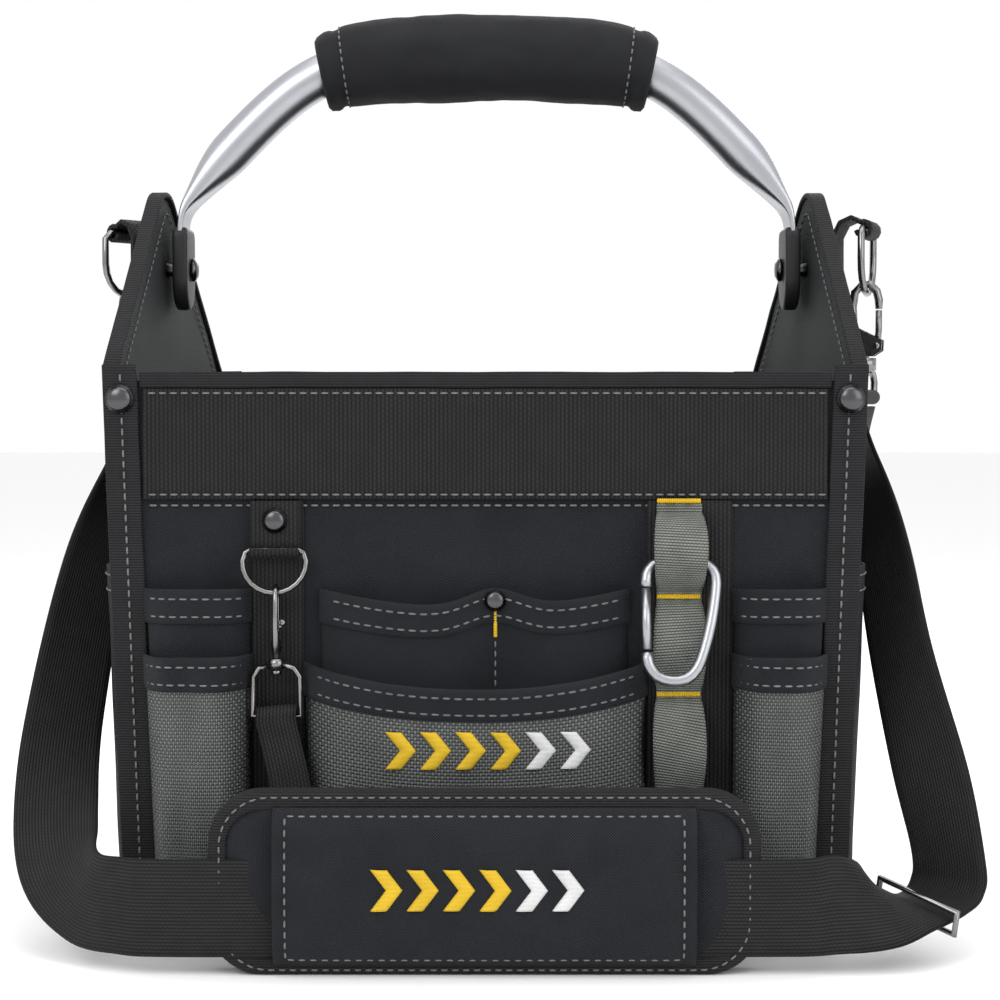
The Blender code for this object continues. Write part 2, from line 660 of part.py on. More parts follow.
def make_carabiner():
    pivot = Vector(CARABINER)
    lean = Matrix.Translation(pivot * MM) @ Matrix.Rotation(-math.radians(CARABINER_LEAN), 4, "X")
    outline = [
        (-14.0, -9.5), (-13.6, -4.5), (-11.5, -1.2), (-8, 0), (8, 0), (12, -1.2), (14.4, -5), (14.2, -12),
        (12.2, -24), (9, -36), (6, -43), (1.5, -47.2), (-4.5, -48), (-10, -46), (-13.2, -41.5), (-14, -36.5),
    ]
    points = smooth_path([(x, 0, z) for x, z in outline], 2)
    frame = wire("carabiner_frame", points, CARABINER_R, ALUMINIUM, False, 2)
    finish_mesh(frame.data, lean)
    bar = [(-14, 0, -10.2), (-14, 0, -23), (-14, 0, -35.1)]
    gate = wire("carabiner_gate", bar, 2.0, ALUMINIUM, False, 2)
    finish_mesh(gate.data, lean)


# The shoulder strap from its left eye round the front to its right eye: (centre, width direction)
STRAP_PATH = (
    ((-164.7, 27.5, 221.2), (0, 1, 0)),
    ((-165, 20, 203), (0.12, 1, 0)),
    ((-172, -12, 160), (0.6, 0.8, 0)),
    ((-178, -42, 112), (0.72, 0.69, 0)),
    ((-180, -70, 72), (0.8, 0.58, 0.12)),
    ((-174, -104, 42), (0.8, 0.25, 0.55)),
    ((-160, -130, 28), (0.3, 0, 0.95)),
    ((-142, -143, 26.5), (0.04, 0, 1)),
    ((-122, STRAP_Y, STRAP_Z), (0, 0, 1)),
    ((-60, STRAP_Y, STRAP_Z), (0, 0, 1)),
    ((60, STRAP_Y, STRAP_Z), (0, 0, 1)),
    ((120, STRAP_Y, STRAP_Z), (0, 0, 1)),
    ((137, -143.5, 27), (-0.1, 0.2, 0.97)),
    ((153, -134.5, 25), (-0.3, 0.55, 0.78)),
    ((166, -124.5, 22), (-0.5, 0.8, 0.3)),
    ((180, -112.5, 20.5), (-0.58, 0.81, 0)),
    ((187.5, -106, 26), (-0.6, 0.8, 0)),
    ((188.5, -103, 38), (-0.62, 0.78, 0)),
    ((183, -90, 72), (-0.7, 0.71, 0)),
    ((175.5, -61, 120), (-0.56, 0.83, 0)),
    ((172, -28, 170), (-0.4, 0.92, 0)),
    ((171, -6, 205), (0.1, 1, 0)),
    ((170.8, 0, 221.5), (0.34, 0.94, 0)),
)
SLIDER_AT = (173.0, -118.6, 20.9)
SLIDER_ALONG = (-0.55, 0.82, 0.14)


def make_strap():
    ribbon("shoulder_strap", STRAP_PATH, STRAP_W, STRAP_T, WEBBING, 2)
    along = Vector(SLIDER_ALONG).normalized()
    rise = Vector(SLIDER_AXIS).normalized().cross(along)
    half, tall = STRAP_W / 2 + 2.8, 4.4
    corners = [(-half, -tall), (half, -tall), (half, tall), (-half, tall)]
    loop = [Vector(SLIDER_AT) + along * a + rise * b for a, b in corners]
    wire("strap_slider", loop, 1.5, STEEL, True, 1)
    make_pad()


def make_pad():
    """The padded back of the shoulder pad, and the cover under which the strap runs."""
    back, round_r = STRAP_Y + STRAP_T / 2 + GAP, 20
    outline = []
    for cx, cz, start in (
        (PAD_HALF - round_r, PAD_H - round_r, 0), (round_r - PAD_HALF, PAD_H - round_r, 90),
        (round_r - PAD_HALF, round_r, 180), (PAD_HALF - round_r, round_r, 270),
    ):
        outline += arc((cx, cz), round_r, start, start + 90, 7)
    extruded("shoulder_pad", [outline], back, back + PAD_T, "Y", FABRIC)
    front, slot = STRAP_Y - 4.2, STRAP_W / 2 + 1.0
    low, high = COVER_Z
    inner = STRAP_Y - STRAP_T / 2 - 0.5
    profile = [
        (front, low), (front, high), (back - GAP, high), (back - GAP, STRAP_Z + slot),
        (inner, STRAP_Z + slot), (inner, STRAP_Z - slot), (back - GAP, STRAP_Z - slot), (back - GAP, low),
    ]
    extruded("pad_cover", [profile], -82, 82, "X", FABRIC)


def make_lanyard():
    ribbon("lanyard_strap", [(place, (1, 0, 0.08)) for place in LANYARD], 16.2, 1.6, WEBBING, 2)


def set_origin(names, place):
    """Puts the pieces' origins on the axis they turn about."""
    shift = Vector(place) * MM
    for name in names:
        obj = PARTS.objects[name]
        obj.data.transform(Matrix.Translation(-shift))
        obj.location = shift


def set_origins():
    set_origin(("handle_tube", "handle_grip", "left_handle_bracket", "right_handle_bracket"), (0, 0, PIVOT_Z))
    bar_x, bar_z = RING_BAR
    for name, side in (("left", -1), ("right", 1)):
        place = fitting_place(side)
        set_origin((f"{name}_strap_ring",), place @ Vector((bar_x, 0, bar_z)))
        set_origin((f"{name}_hook",), place @ Vector((bar_x, 0, bar_z - 28.5)))
        set_origin((f"{name}_hook_gate",), place @ Vector((bar_x + HOOK_X + 5.1, 0, bar_z - 52.0)))
        set_origin((f"{name}_swivel_eye",), place @ Vector((bar_x + HOOK_X, 0, bar_z - 60.2)))
    set_origin(("front_ring", "clip_hook", "lanyard_strap"), (TAB_X, DRING_Y, DRING_Z))
    set_origin(("clip_eye",), (CLIP[0], CLIP[1], CLIP[2] - 28.7))
    set_origin(("carabiner_frame",), CARABINER)
    lean = Matrix.Rotation(-math.radians(CARABINER_LEAN), 3, "X")
    set_origin(("carabiner_gate",), Vector(CARABINER) + lean @ Vector((-14, 0, -35.1)))
    set_origin(("strap_slider",), SLIDER_AT)


clear_scene()
PARTS = collection("garden_tool_bag")
CUTTERS = collection("cutters")
FABRIC = material("fabric", (0.012, 0.013, 0.016), 0.8)
LINING = material("lining", (0.03, 0.036, 0.036), 0.85)
BALLISTIC = material("ballistic_fabric", (0.075, 0.08, 0.08), 0.6)
WEBBING = material("webbing", (0.012, 0.012, 0.012), 0.75)
GREY_WEBBING = material("grey_webbing", (0.16, 0.17, 0.15), 0.7)
TRIM = material("binding_tape", (0.018, 0.017, 0.018), 0.75)
BOARD = material("stiffener_board", (0.1, 0.1, 0.1), 0.6)
GRIP = material("grip_fabric", (0.02, 0.021, 0.025), 0.9)
MOULDED = material("moulded_plastic", (0.03, 0.03, 0.032), 0.5)
ALUMINIUM = material("aluminium", (0.75, 0.76, 0.78), 0.25, 1.0)
STEEL = material("blackened_steel", (0.16, 0.15, 0.14), 0.25, 1.0)
make_walls()
make_bindings()
make_front()
make_handle()
make_strap_fittings()
make_front_clip()
make_lanyard()
make_daisy_chain()
make_carabiner()
make_strap()
set_origins()
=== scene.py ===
import json
import math
from functools import partial

import bmesh
import bpy
from mathutils import Matrix, Vector, noise

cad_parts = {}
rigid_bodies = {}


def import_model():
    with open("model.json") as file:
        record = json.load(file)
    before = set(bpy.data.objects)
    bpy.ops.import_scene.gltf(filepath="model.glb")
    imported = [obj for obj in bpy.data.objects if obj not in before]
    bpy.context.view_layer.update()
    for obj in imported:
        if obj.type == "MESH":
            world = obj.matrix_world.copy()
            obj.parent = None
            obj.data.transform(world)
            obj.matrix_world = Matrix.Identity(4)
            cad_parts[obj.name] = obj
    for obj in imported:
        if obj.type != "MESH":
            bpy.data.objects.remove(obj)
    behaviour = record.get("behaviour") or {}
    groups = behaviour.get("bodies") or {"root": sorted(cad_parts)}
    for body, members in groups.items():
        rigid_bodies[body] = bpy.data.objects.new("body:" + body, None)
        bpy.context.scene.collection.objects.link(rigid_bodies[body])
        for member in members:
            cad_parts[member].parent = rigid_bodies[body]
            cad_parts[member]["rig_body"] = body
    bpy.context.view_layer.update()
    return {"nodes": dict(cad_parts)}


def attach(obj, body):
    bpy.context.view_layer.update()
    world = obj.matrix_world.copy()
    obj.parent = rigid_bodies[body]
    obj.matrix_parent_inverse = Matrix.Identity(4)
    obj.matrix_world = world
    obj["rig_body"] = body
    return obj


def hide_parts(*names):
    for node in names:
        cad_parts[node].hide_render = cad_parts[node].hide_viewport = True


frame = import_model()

MM = 0.001
NODES = frame["nodes"]

# The bag's shape, in millimetres, as the CAD has it
FRONT_Y = -95.0
FRONT_FACE = -95.3
LEAN = 0.0342
TAPER = 0.1105
BINDING_W = 14.0
PEAK_Z = 299.0
BACK_Y = 95.0
PEAK_CORNER = (92.7, 232.0)
PEAK_R = 15.0
PIVOT_Z = 282.0
TUBE_R = 9.5
GRIP_R = 19.8
GRIP_HALF = 72.5
CHAIN_X = 79.0
CHAIN_Y = -98.1
CLIP = (-84.7, -104.1, 145.4)
STRAP_Y = -147.0
STRAP_Z = 26.5
PAD_HALF = 106.5
PAD_TOP = 71.0
PAD_DEEP = 10.0
PAD_FRONT = STRAP_Y + 1.1
COVER_HALF = 82.0
COVER_Z = (5.0, 65.0)

FORWARD = (0, -1, 0)
SIDES = (("left", -1), ("right", 1))


def side_x(y, z):
    """How far the right side's face stands from the middle."""
    return 148.0 + LEAN * z - TAPER * (y - FRONT_Y)


# ---------------------------------------------------------------- materials


class Shader:
    """A material's node tree, built by small steps; numbers are set straight on sockets."""

    def __init__(self, name, roughness=0.8, metallic=0.0):
        self.material = bpy.data.materials.new(name)
        self.material.use_nodes = True
        self.tree = self.material.node_tree
        self.main = self.tree.nodes["Principled BSDF"]
        self.main.inputs["Roughness"].default_value = roughness
        self.main.inputs["Metallic"].default_value = metallic
        if not metallic:
            self.main.inputs["Specular IOR Level"].default_value = 0.22

    def node(self, kind, **inputs):
        made = self.tree.nodes.new(kind)
        for key, value in inputs.items():
            self.put(made.inputs[key.replace("_", " ")], value)
        return made

    def put(self, socket, value):
        if isinstance(value, bpy.types.NodeSocket):
            self.tree.links.new(value, socket)
        else:
            socket.default_value = value

    def math(self, operation, *values):
        made = self.tree.nodes.new("ShaderNodeMath")
        made.operation = operation
        for socket, value in zip(made.inputs, values):
            self.put(socket, value)
        return made.outputs[0]

    def mix(self, factor, first, second):
        made = self.tree.nodes.new("ShaderNodeMix")
        made.data_type = "RGBA"
        self.put(made.inputs["Factor"], factor)
        self.put(made.inputs["A"], first)
        self.put(made.inputs["B"], second)
        return made.outputs["Result"]

    def noise(self, scale, detail=3.0, vector=None):
        made = self.node("ShaderNodeTexNoise", Scale=scale, Detail=detail)
        if vector is None:
            vector = self.node("ShaderNodeTexCoord").outputs["Object"]
        self.put(made.inputs["Vector"], vector)
        return made.outputs["Fac"]

    def across_along(self, pitch):
        """The cloth's own coordinates counted in yarns."""
        split = self.node("ShaderNodeSeparateXYZ")
        self.put(split.inputs[0], self.node("ShaderNodeUVMap").outputs["UV"])
        return [self.math("DIVIDE", split.outputs[k], pitch * MM) for k in range(2)]

    def hump(self, value):
        """A rounded ridge on each whole count."""
        return self.math("SINE", self.math("MULTIPLY", self.math("FRACT", value), math.pi))

    def colour(self, value):
        self.put(self.main.inputs["Base Color"], value)

    def bump(self, height, depth, strength=1.0):
        made = self.node("ShaderNodeBump", Strength=strength, Distance=depth * MM, Height=height)
        self.put(self.main.inputs["Normal"], made.outputs[0])

    def sheen(self, weight):
        self.main.inputs["Sheen Weight"].default_value = weight
        self.main.inputs["Sheen Roughness"].default_value = 0.4


def rgb(*values):
    return (*values, 1.0)


def woven(name, dark, light, pitch, roughness=0.78, depth=0.25, sheen=0.02, shine=0.22):
    """Plain or basket weave: threads over and under by turns, the colour darker in the dips between threads
    as painted shade.
    """
    s = Shader(name, roughness)
    u, v = s.across_along(pitch)
    turn = s.math("MODULO", s.math("ADD", s.math("FLOOR", u), s.math("FLOOR", v)), 2.0)
    turn = s.math("ABSOLUTE", turn)
    warp, weft = s.hump(u), s.hump(v)
    over = s.math("MULTIPLY", warp, s.math("MULTIPLY_ADD", weft, 0.5, 0.5))
    under = s.math("MULTIPLY", weft, s.math("MULTIPLY_ADD", warp, 0.5, 0.5))
    over = s.math("MULTIPLY", over, turn)
    under = s.math("MULTIPLY", under, s.math("SUBTRACT", 1.0, turn))
    height = s.math("ADD", over, under)
    patchy = s.noise(90.0)
    # Painted shade: the colour darkens with the threads' height into the dips between them; the noise varies
    # the tone at random.
    shade = s.math("MULTIPLY", height, s.math("MULTIPLY_ADD", patchy, 0.6, 0.7))
    shade_and_tone = s.math("MULTIPLY", shade, s.math("MULTIPLY_ADD", turn, 0.55, 0.45))
    s.colour(s.mix(shade_and_tone, rgb(*dark), rgb(*light)))
    s.main.inputs["Specular IOR Level"].default_value = shine
    s.bump(height, depth)
    s.sheen(sheen)
    return s.material


def twill(name, dark, light, pitch, roughness=0.8, depth=0.2, sheen=0.03):
    """Twill: ridges that run on a slant, crossed by finer threads, the colour darker in the dips between
    ridges as painted shade.
    """
    s = Shader(name, roughness)
    u, v = s.across_along(pitch)
    ridge = s.hump(s.math("ADD", u, v))
    thread = s.hump(s.math("SUBTRACT", u, v))
    height = s.math("MULTIPLY", ridge, s.math("MULTIPLY_ADD", thread, 0.5, 0.5))
    patchy = s.noise(60.0)
    # Painted shade: the colour darkens with the ridges' height into the grooves between them; the noise
    # varies the tone at random.
    shade_and_tone = s.math("MULTIPLY", height, s.math("MULTIPLY_ADD", patchy, 0.9, 0.5))
    s.colour(s.mix(shade_and_tone, rgb(*dark), rgb(*light)))
    s.bump(height, depth)
    s.sheen(sheen)
    return s.material


def ribbed(name, dark, light, pitch, along="u", roughness=0.72, depth=0.3, sheen=0.02):
    """Webbing or tape: cords side by side, with the weft showing across them, the colour darker in the dips
    between cords as painted shade.
    """
    s = Shader(name, roughness)
    u, v = s.across_along(pitch)
    if along == "v":
        u, v = v, u
    cord = s.hump(u)
    half = s.math("MULTIPLY", s.math("MODULO", s.math("FLOOR", u), 2.0), 0.5)
    weft = s.hump(s.math("ADD", s.math("MULTIPLY", v, 0.8), half))
    height = s.math("MULTIPLY", s.math("MULTIPLY_ADD", weft, 0.45, 0.55), cord)
    patchy = s.noise(120.0)
    # Painted shade: the colour darkens with the cords' height into the gaps between them; the noise varies
    # the tone at random.
    shade_and_tone = s.math("MULTIPLY", height, s.math("MULTIPLY_ADD", patchy, 0.8, 0.6))
    s.colour(s.mix(shade_and_tone, rgb(*dark), rgb(*light)))
    s.bump(height, depth)
    s.sheen(sheen)
    return s.material


def metal(name, colour, roughness, grain=500.0, spread=0.12):
    s = Shader(name, roughness, 1.0)
    fine = s.noise(grain, 4.0)
    broad = s.noise(30.0, 3.0)
    s.colour(s.mix(broad, rgb(*[c * 0.82 for c in colour]), rgb(*colour)))
    s.put(s.main.inputs["Roughness"], s.math("MULTIPLY_ADD", fine, spread, roughness - spread / 2))
    s.bump(fine, 0.02, 0.4)
    return s.material


def grained(name, dark, light, roughness, scale, depth):
    """Moulded or pressed stuff with a fine grain."""
    s = Shader(name, roughness)
    fine = s.noise(scale, 4.0)
    broad = s.noise(25.0)
    s.colour(s.mix(broad, rgb(*dark), rgb(*light)))
    s.put(s.main.inputs["Roughness"], s.math("MULTIPLY_ADD", fine, 0.25, roughness - 0.12))
    s.bump(fine, depth)
    return s.material


TWILL = twill("twill", (0.002, 0.003, 0.004), (0.021, 0.023, 0.029), 1.15, depth=0.35)
LINING = woven("lining_cloth", (0.009, 0.012, 0.012), (0.036, 0.043, 0.044), 0.8, 0.7, 0.12)
BALLISTIC = woven("ballistic", (0.004, 0.005, 0.005), (0.155, 0.168, 0.16), 1.35, 0.42, 0.4, 0.02, 0.5)
WEBBING = ribbed("webbing", (0.001, 0.001, 0.001), (0.017, 0.016, 0.017), 1.7)
STRAP_WEB = ribbed("strap_webbing", (0.001, 0.001, 0.001), (0.021, 0.020, 0.020), 1.4)
GREY_WEB = ribbed("grey_webbing", (0.02, 0.023, 0.02), (0.235, 0.25, 0.225), 1.15, "v", depth=0.45)
TAPE = ribbed("grosgrain_tape", (0.002, 0.002, 0.003), (0.020, 0.019, 0.021), 1.1, "v")
GRIP = twill("grip_cloth", (0.003, 0.003, 0.004), (0.020, 0.021, 0.025), 0.7, 0.85, 0.12, 0.03)
BOARD = grained("stiffener", (0.03, 0.03, 0.03), (0.05, 0.05, 0.05), 0.6, 400.0, 0.05)
MOULDED = grained("moulded", (0.012, 0.012, 0.014), (0.022, 0.022, 0.024), 0.45, 900.0, 0.04)
THREAD = ribbed("stitch_thread", (0.06, 0.06, 0.06), (0.23, 0.23, 0.225), 0.4, "v", 0.7, 0.1)
YELLOW = ribbed("yellow_thread", (0.45, 0.28, 0.01), (0.85, 0.56, 0.03), 0.5, "v", 0.5, 0.15)
WHITE = ribbed("white_thread", (0.45, 0.45, 0.45), (0.85, 0.85, 0.85), 0.5, "v", 0.5, 0.15)
ALUMINIUM = metal("satin_aluminium", (0.44, 0.45, 0.48), 0.34)
STEEL = metal("blackened_steel", (0.10, 0.10, 0.105), 0.25)
NICKEL = metal("nickel", (0.25, 0.245, 0.24), 0.24)


# ---------------------------------------------------------------- geometry


def keep(name, mesh, look, body, *replaced):
    """Adds a piece that rides on a body and stands for the CAD nodes named."""
    mesh.materials.clear()
    mesh.materials.append(look)
    obj = bpy.data.objects.new(name, mesh)
    bpy.context.scene.collection.objects.link(obj)
    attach(obj, body)
    if replaced:
        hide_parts(*replaced)
    return obj


def cloth(name, place, columns, rows, thickness, look, body, replaced=(), offset=1.0):
    """A sheet bent by place(u, v) in millimetres, with thickness, and its own coordinates in metres."""
    step = columns + 1
    verts = [[Vector(place(i / columns, j / rows)) * MM for i in range(step)] for j in range(rows + 1)]
    mesh = bpy.data.meshes.new(name)
    flat = [v for row in verts for v in row]
    faces = [
        (j * step + i, j * step + i + 1, (j + 1) * step + i + 1, (j + 1) * step + i)
        for j in range(rows) for i in range(columns)
    ]
    mesh.from_pydata(flat, [], faces)
    middle = verts[rows // 2]
    width = sum((b - a).length for a, b in zip(middle, middle[1:]))
    lengths = [0.0]
    for a, b in zip(verts, verts[1:]):
        lengths.append(lengths[-1] + (b[columns // 2] - a[columns // 2]).length)
    layer = mesh.uv_layers.new(name="UVMap")
    for loop in mesh.loops:
        j, i = divmod(loop.vertex_index, step)
        layer.data[loop.index].uv = (width * i / columns, lengths[j])
    mesh.shade_smooth()
    obj = keep(name, mesh, look, body, *replaced)
    solid = obj.modifiers.new("thickness", "SOLIDIFY")
    solid.thickness = thickness * MM
    solid.offset = offset
    return obj


def box_coordinates(mesh):
    """Cloth coordinates in metres, laid on each face from the side it looks to."""
    layer = mesh.uv_layers.get("UVMap") or mesh.uv_layers.new(name="UVMap")
    pairs = {0: (1, 2), 1: (0, 2), 2: (0, 1)}
    for face in mesh.polygons:
        n = face.normal
        widest = max(range(3), key=lambda k: abs(n[k]))
        a, b = pairs[widest]
        for index in face.loop_indices:
            place = mesh.vertices[mesh.loops[index].vertex_index].co
            layer.data[index].uv = (place[a], place[b])


def closed_mesh(bm, name, crease=None):
    """Ends a closed form: faces out, cloth coordinates, smooth shading, sharp past the crease in degrees."""
    bmesh.ops.recalc_face_normals(bm, faces=bm.faces)
    mesh = bpy.data.meshes.new(name)
    bm.to_mesh(mesh)
    bm.free()
    box_coordinates(mesh)
    mesh.shade_smooth()
    if crease:
        mesh.set_sharp_from_angle(angle=math.radians(crease))
    return mesh


def skin(bm, loops):
    """Joins each loop of vertices to the next one."""
    for near, far in zip(loops, loops[1:]):
        for i in range(len(near)):
            bm.faces.new((near[i - 1], near[i], far[i], far[i - 1]))


def soft_copy(node, look, step=9.0, wobble=0.25, bevel=0.55, freq=0.05):
    """A CAD piece made in cloth: edges rolled, faces slightly uneven; step is the size of its faces (mm)."""
    bm = bmesh.new()
    bm.from_mesh(NODES[node].data)
    bmesh.ops.remove_doubles(bm, verts=bm.verts, dist=0.00002)
    bmesh.ops.dissolve_limit(bm, angle_limit=0.02, verts=bm.verts, edges=bm.edges)
    sharp = [e for e in bm.edges if len(e.link_faces) == 2 and e.calc_face_angle(0) > 0.7]
    rolled = {"segments": 2, "affect": "EDGES", "profile": 0.5, "clamp_overlap": True}
    bmesh.ops.bevel(bm, geom=sharp, offset=bevel * MM, **rolled)
    low = [min(v.co[k] for v in bm.verts) for k in range(3)]
    high = [max(v.co[k] for v in bm.verts) for k in range(3)]
    for k in range(3):
        count = int((high[k] - low[k]) / (step * MM))
        for i in range(1, count + 1):
            point, normal = Vector((0, 0, 0)), Vector((0, 0, 0))
            point[k], normal[k] = low[k] + (high[k] - low[k]) * i / (count + 1), 1.0
            geometry = bm.verts[:] + bm.edges[:] + bm.faces[:]
            bmesh.ops.bisect_plane(bm, geom=geometry, plane_co=point, plane_no=normal, dist=0.000005)
    # Blender seeds noise_vector by the clock, so this unevenness differs a little from run to run
    for vert in bm.verts:
        vert.co += noise.noise_vector(vert.co / MM * freq) * wobble * MM
    bm.normal_update()
    mesh = bpy.data.meshes.new(f"{node}_cloth")
    bm.to_mesh(mesh)
    bm.free()
    box_coordinates(mesh)
    mesh.shade_smooth()
    mesh.set_sharp_from_angle(angle=math.radians(50))
    return keep(f"{node}_cloth", mesh, look, NODES[node]["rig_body"], node)


# A stitch's sections, as shares of its length and radius: (place along it, width, how far it stands up)
STITCH = ((-0.5, 0.35, -0.5), (-0.36, 0.9, 0.0), (0.0, 1.0, 0.35), (0.36, 0.9, 0.0), (0.5, 0.35, -0.5))
STITCH_SIDES = 6


def stitch(verts, faces, centre, along, side, up, length, radius):
    """Adds one stitch, a short thread that dips into the cloth at both its ends."""
    first = len(verts)
    turns = [math.tau * k / STITCH_SIDES for k in range(STITCH_SIDES)]
    for place, wide, lift in STITCH:
        for t in turns:
            across = side * math.cos(t) * radius * wide
            rise = up * (math.sin(t) * radius * wide * 0.7 + lift * radius)
            verts.append((centre + along * place * length + (across + rise)) * MM)
    last = first + STITCH_SIDES * (len(STITCH) - 1)
    for start in range(first, last, STITCH_SIDES):
        for k in range(STITCH_SIDES):
            m = (k + 1) % STITCH_SIDES
            faces.append((start + k, start + m, start + STITCH_SIDES + m, start + STITCH_SIDES + k))
    faces.append([first + k for k in range(STITCH_SIDES - 1, -1, -1)])
    faces.append([last + k for k in range(STITCH_SIDES)])


def seam(name, points, outward, body, look=THREAD, length=3.0, pitch=4.4, radius=0.45):
    """A row of stitches along points (mm); outward is the cloth's normal, or one for each point."""
    points = [Vector(p) for p in points]
    several = isinstance(outward[0], (list, tuple, Vector))
    ways = [Vector(o) for o in outward] if several else [Vector(outward)] * len(points)
    verts, faces = [], []
    travelled, due = 0.0, pitch / 2
    for a, b, way in zip(points, points[1:], ways):
        span = (b - a).length
        if span < 1e-6:
            continue
        along = (b - a) / span
        side = along.cross(way).normalized()
        up = side.cross(along)
        while due <= travelled + span:
            stitch(verts, faces, a + along * (due - travelled), along, side, up, length, radius)
            due += pitch
        travelled += span
    mesh = bpy.data.meshes.new(name)
    mesh.from_pydata(verts, [], faces)
    box_coordinates(mesh)
    mesh.shade_smooth()
    return keep(name, mesh, look, body)


def smooth_path(points, steps):
    """A smooth curve through the points, with this many steps from each to the next."""
    points = [Vector(p) for p in points]
    ends = [2 * points[0] - points[1], *points, 2 * points[-1] - points[-2]]
    found = []
    for a, b, c, d in zip(ends, ends[1:], ends[2:], ends[3:]):
        for i in range(steps):
            t = i / steps
            square = (2 * a - 5 * b + 4 * c - d) * t * t
            cube = (3 * b - 3 * c + d - a) * t**3
            found.append(0.5 * (2 * b + (c - a) * t + square + cube))
    return [*found, points[-1]]


def smooth_copy(node, look):
    """A hard CAD piece with its round faces shaded round."""
    bm = bmesh.new()
    bm.from_mesh(NODES[node].data)
    bmesh.ops.remove_doubles(bm, verts=bm.verts, dist=0.00001)
    mesh = bpy.data.meshes.new(f"{node}_smooth")
    bm.to_mesh(mesh)
    bm.free()
    box_coordinates(mesh)
    mesh.shade_smooth()
    mesh.set_sharp_from_angle(angle=math.radians(58))
    return keep(f"{node}_smooth", mesh, look, NODES[node]["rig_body"], node)


def paint(node, look):
    """A CAD piece that stays gets its finish."""
    mesh = NODES[node].data
    for i in range(len(mesh.materials)):
        mesh.materials[i] = look
    if not mesh.materials:
        mesh.materials.append(look)


# ---------------------------------------------------------------- camera, light, floor

camera_data = bpy.data.cameras.new("camera")
camera_data.lens = 79.4
camera_data.sensor_width = 36.0
camera = bpy.data.objects.new("camera", camera_data)
camera.location = (0.006, -0.995, 0.222)
camera.rotation_euler = (math.radians(87.5), 0.0, 0.0)
bpy.context.scene.collection.objects.link(camera)
bpy.context.scene.camera = camera

for light_name, place, aim, energy, size in (
    ("key", (-0.9, -1.3, 1.3), (0, 0, 0.2), 12, 1.0),
    ("fill", (1.2, -1.0, 0.8), (0, 0, 0.2), 8, 1.2),
    ("top", (0.0, -0.1, 1.6), (0, 0, 0.2), 9, 1.3),
    ("rim", (0.3, 1.3, 1.0), (0, 0, 0.25), 8, 1.0),
):
    light_data = bpy.data.lights.new(light_name, "AREA")
    light_data.energy = energy
    light_data.size = size
    light = bpy.data.objects.new(light_name, light_data)
    light.location = place
    light.rotation_euler = (Vector(aim) - Vector(place)).to_track_quat("-Z", "Y").to_euler()
    bpy.context.scene.collection.objects.link(light)

world = bpy.data.worlds.new("studio")
world.use_nodes = True
world.node_tree.nodes["Background"].inputs["Color"].default_value = (1.0, 1.0, 1.0, 1.0)
world.node_tree.nodes["Background"].inputs["Strength"].default_value = 1.0
bpy.context.scene.world = world
bpy.context.scene.view_settings.view_transform = "Standard"

FLOOR_HALF = 9.0
floor_mesh = bpy.data.meshes.new("floor")
corners = [(x * FLOOR_HALF, y * FLOOR_HALF, 0) for x, y in ((-1, -1), (1, -1), (1, 1), (-1, 1))]
floor_mesh.from_pydata(corners, [], [(0, 1, 2, 3)])
floor = bpy.data.objects.new("floor", floor_mesh)
bpy.context.scene.collection.objects.link(floor)
pale = Shader("pale_floor", 0.6)
pale.colour(rgb(0.93, 0.93, 0.93))
floor_mesh.materials.append(pale.material)


# ---------------------------------------------------------------- hard pieces that stay

for node in ("base_board", "front_board", "back_board"):
    paint(node, BOARD)
for node in ("carabiner_frame", "carabiner_gate"):
    smooth_copy(node, ALUMINIUM)
for node in (
    "left_corner_rivet", "right_corner_rivet", "pocket_rivet", "front_tab_rivet",
    "left_pivot_screw", "right_pivot_screw",
):
    smooth_copy(node, STEEL)
for node in (
    "left_strap_ring", "right_strap_ring", "left_hook", "right_hook", "left_hook_gate",
    "right_hook_gate", "left_swivel_eye", "right_swivel_eye", "front_ring", "clip_hook", "clip_eye",
    "strap_slider",
):
    smooth_copy(node, NICKEL)


# ---------------------------------------------------------------- walls

soft_copy("base_panel", TAPE, 12.0, 0.15)
for node in ("front_panel", "back_panel"):
    soft_copy(node, TWILL, 8.0, 0.35, 0.5)
for node in ("left_side_panel", "right_side_panel"):
    soft_copy(node, LINING, 10.0, 0.8, 0.8, freq=0.03)
for node in ("left_peak_binding", "right_peak_binding"):
    soft_copy(node, TAPE, 8.0, 0.3, 0.6)
for node in (
    "front_hem", "back_hem", "front_left_binding", "front_right_binding", "back_left_binding",
    "back_right_binding",
):
    soft_copy(node, TAPE, 7.0, 0.3, 0.6)
soft_copy("top_band", WEBBING, 9.0, 0.3, 0.5)
for node in ("left_strip", "right_strip", "front_tab", "left_strap_tab", "right_strap_tab"):
    soft_copy(node, WEBBING, 9.0, 0.2, 0.35)

# The grey webbing's loops: (top, foot, how far it stands off, skew of its curve, tilt)
CHAIN_LOOPS = ((177, 146, 11.5, 0.806, -0.6), (141, 106, 7.0, 1.0, 0.8), (101, 62, 7.0, 0.833, -2.4))
CHAIN_TOP = 181.5
CHAIN_LENGTH = 123.5


def chain_place(u, v):
    """The grey webbing from its top tack down: it stands off in loops and is gathered at each tack."""
    z = CHAIN_TOP - CHAIN_LENGTH * v
    swell, reach, tilt = 0.0, 0.0, 0.0
    for top, low, off, skew, slant in CHAIN_LOOPS:
        if low < z < top:
            swell = math.sin(math.pi * ((top - z) / (top - low)) ** skew) ** 0.8
            reach, tilt = off, slant
    width = 18.2 + 3.6 * swell
    gather = 0.35 * math.sin(u * 16) * (1 - swell)
    x = CHAIN_X + (u - 0.5) * width
    return x, CHAIN_Y - reach * swell - gather, z + tilt * (2 * u - 1) * swell


cloth("daisy_chain_webbing", chain_place, 16, 150, 1.3, GREY_WEB, "bag", ("daisy_chain",), 0.0)

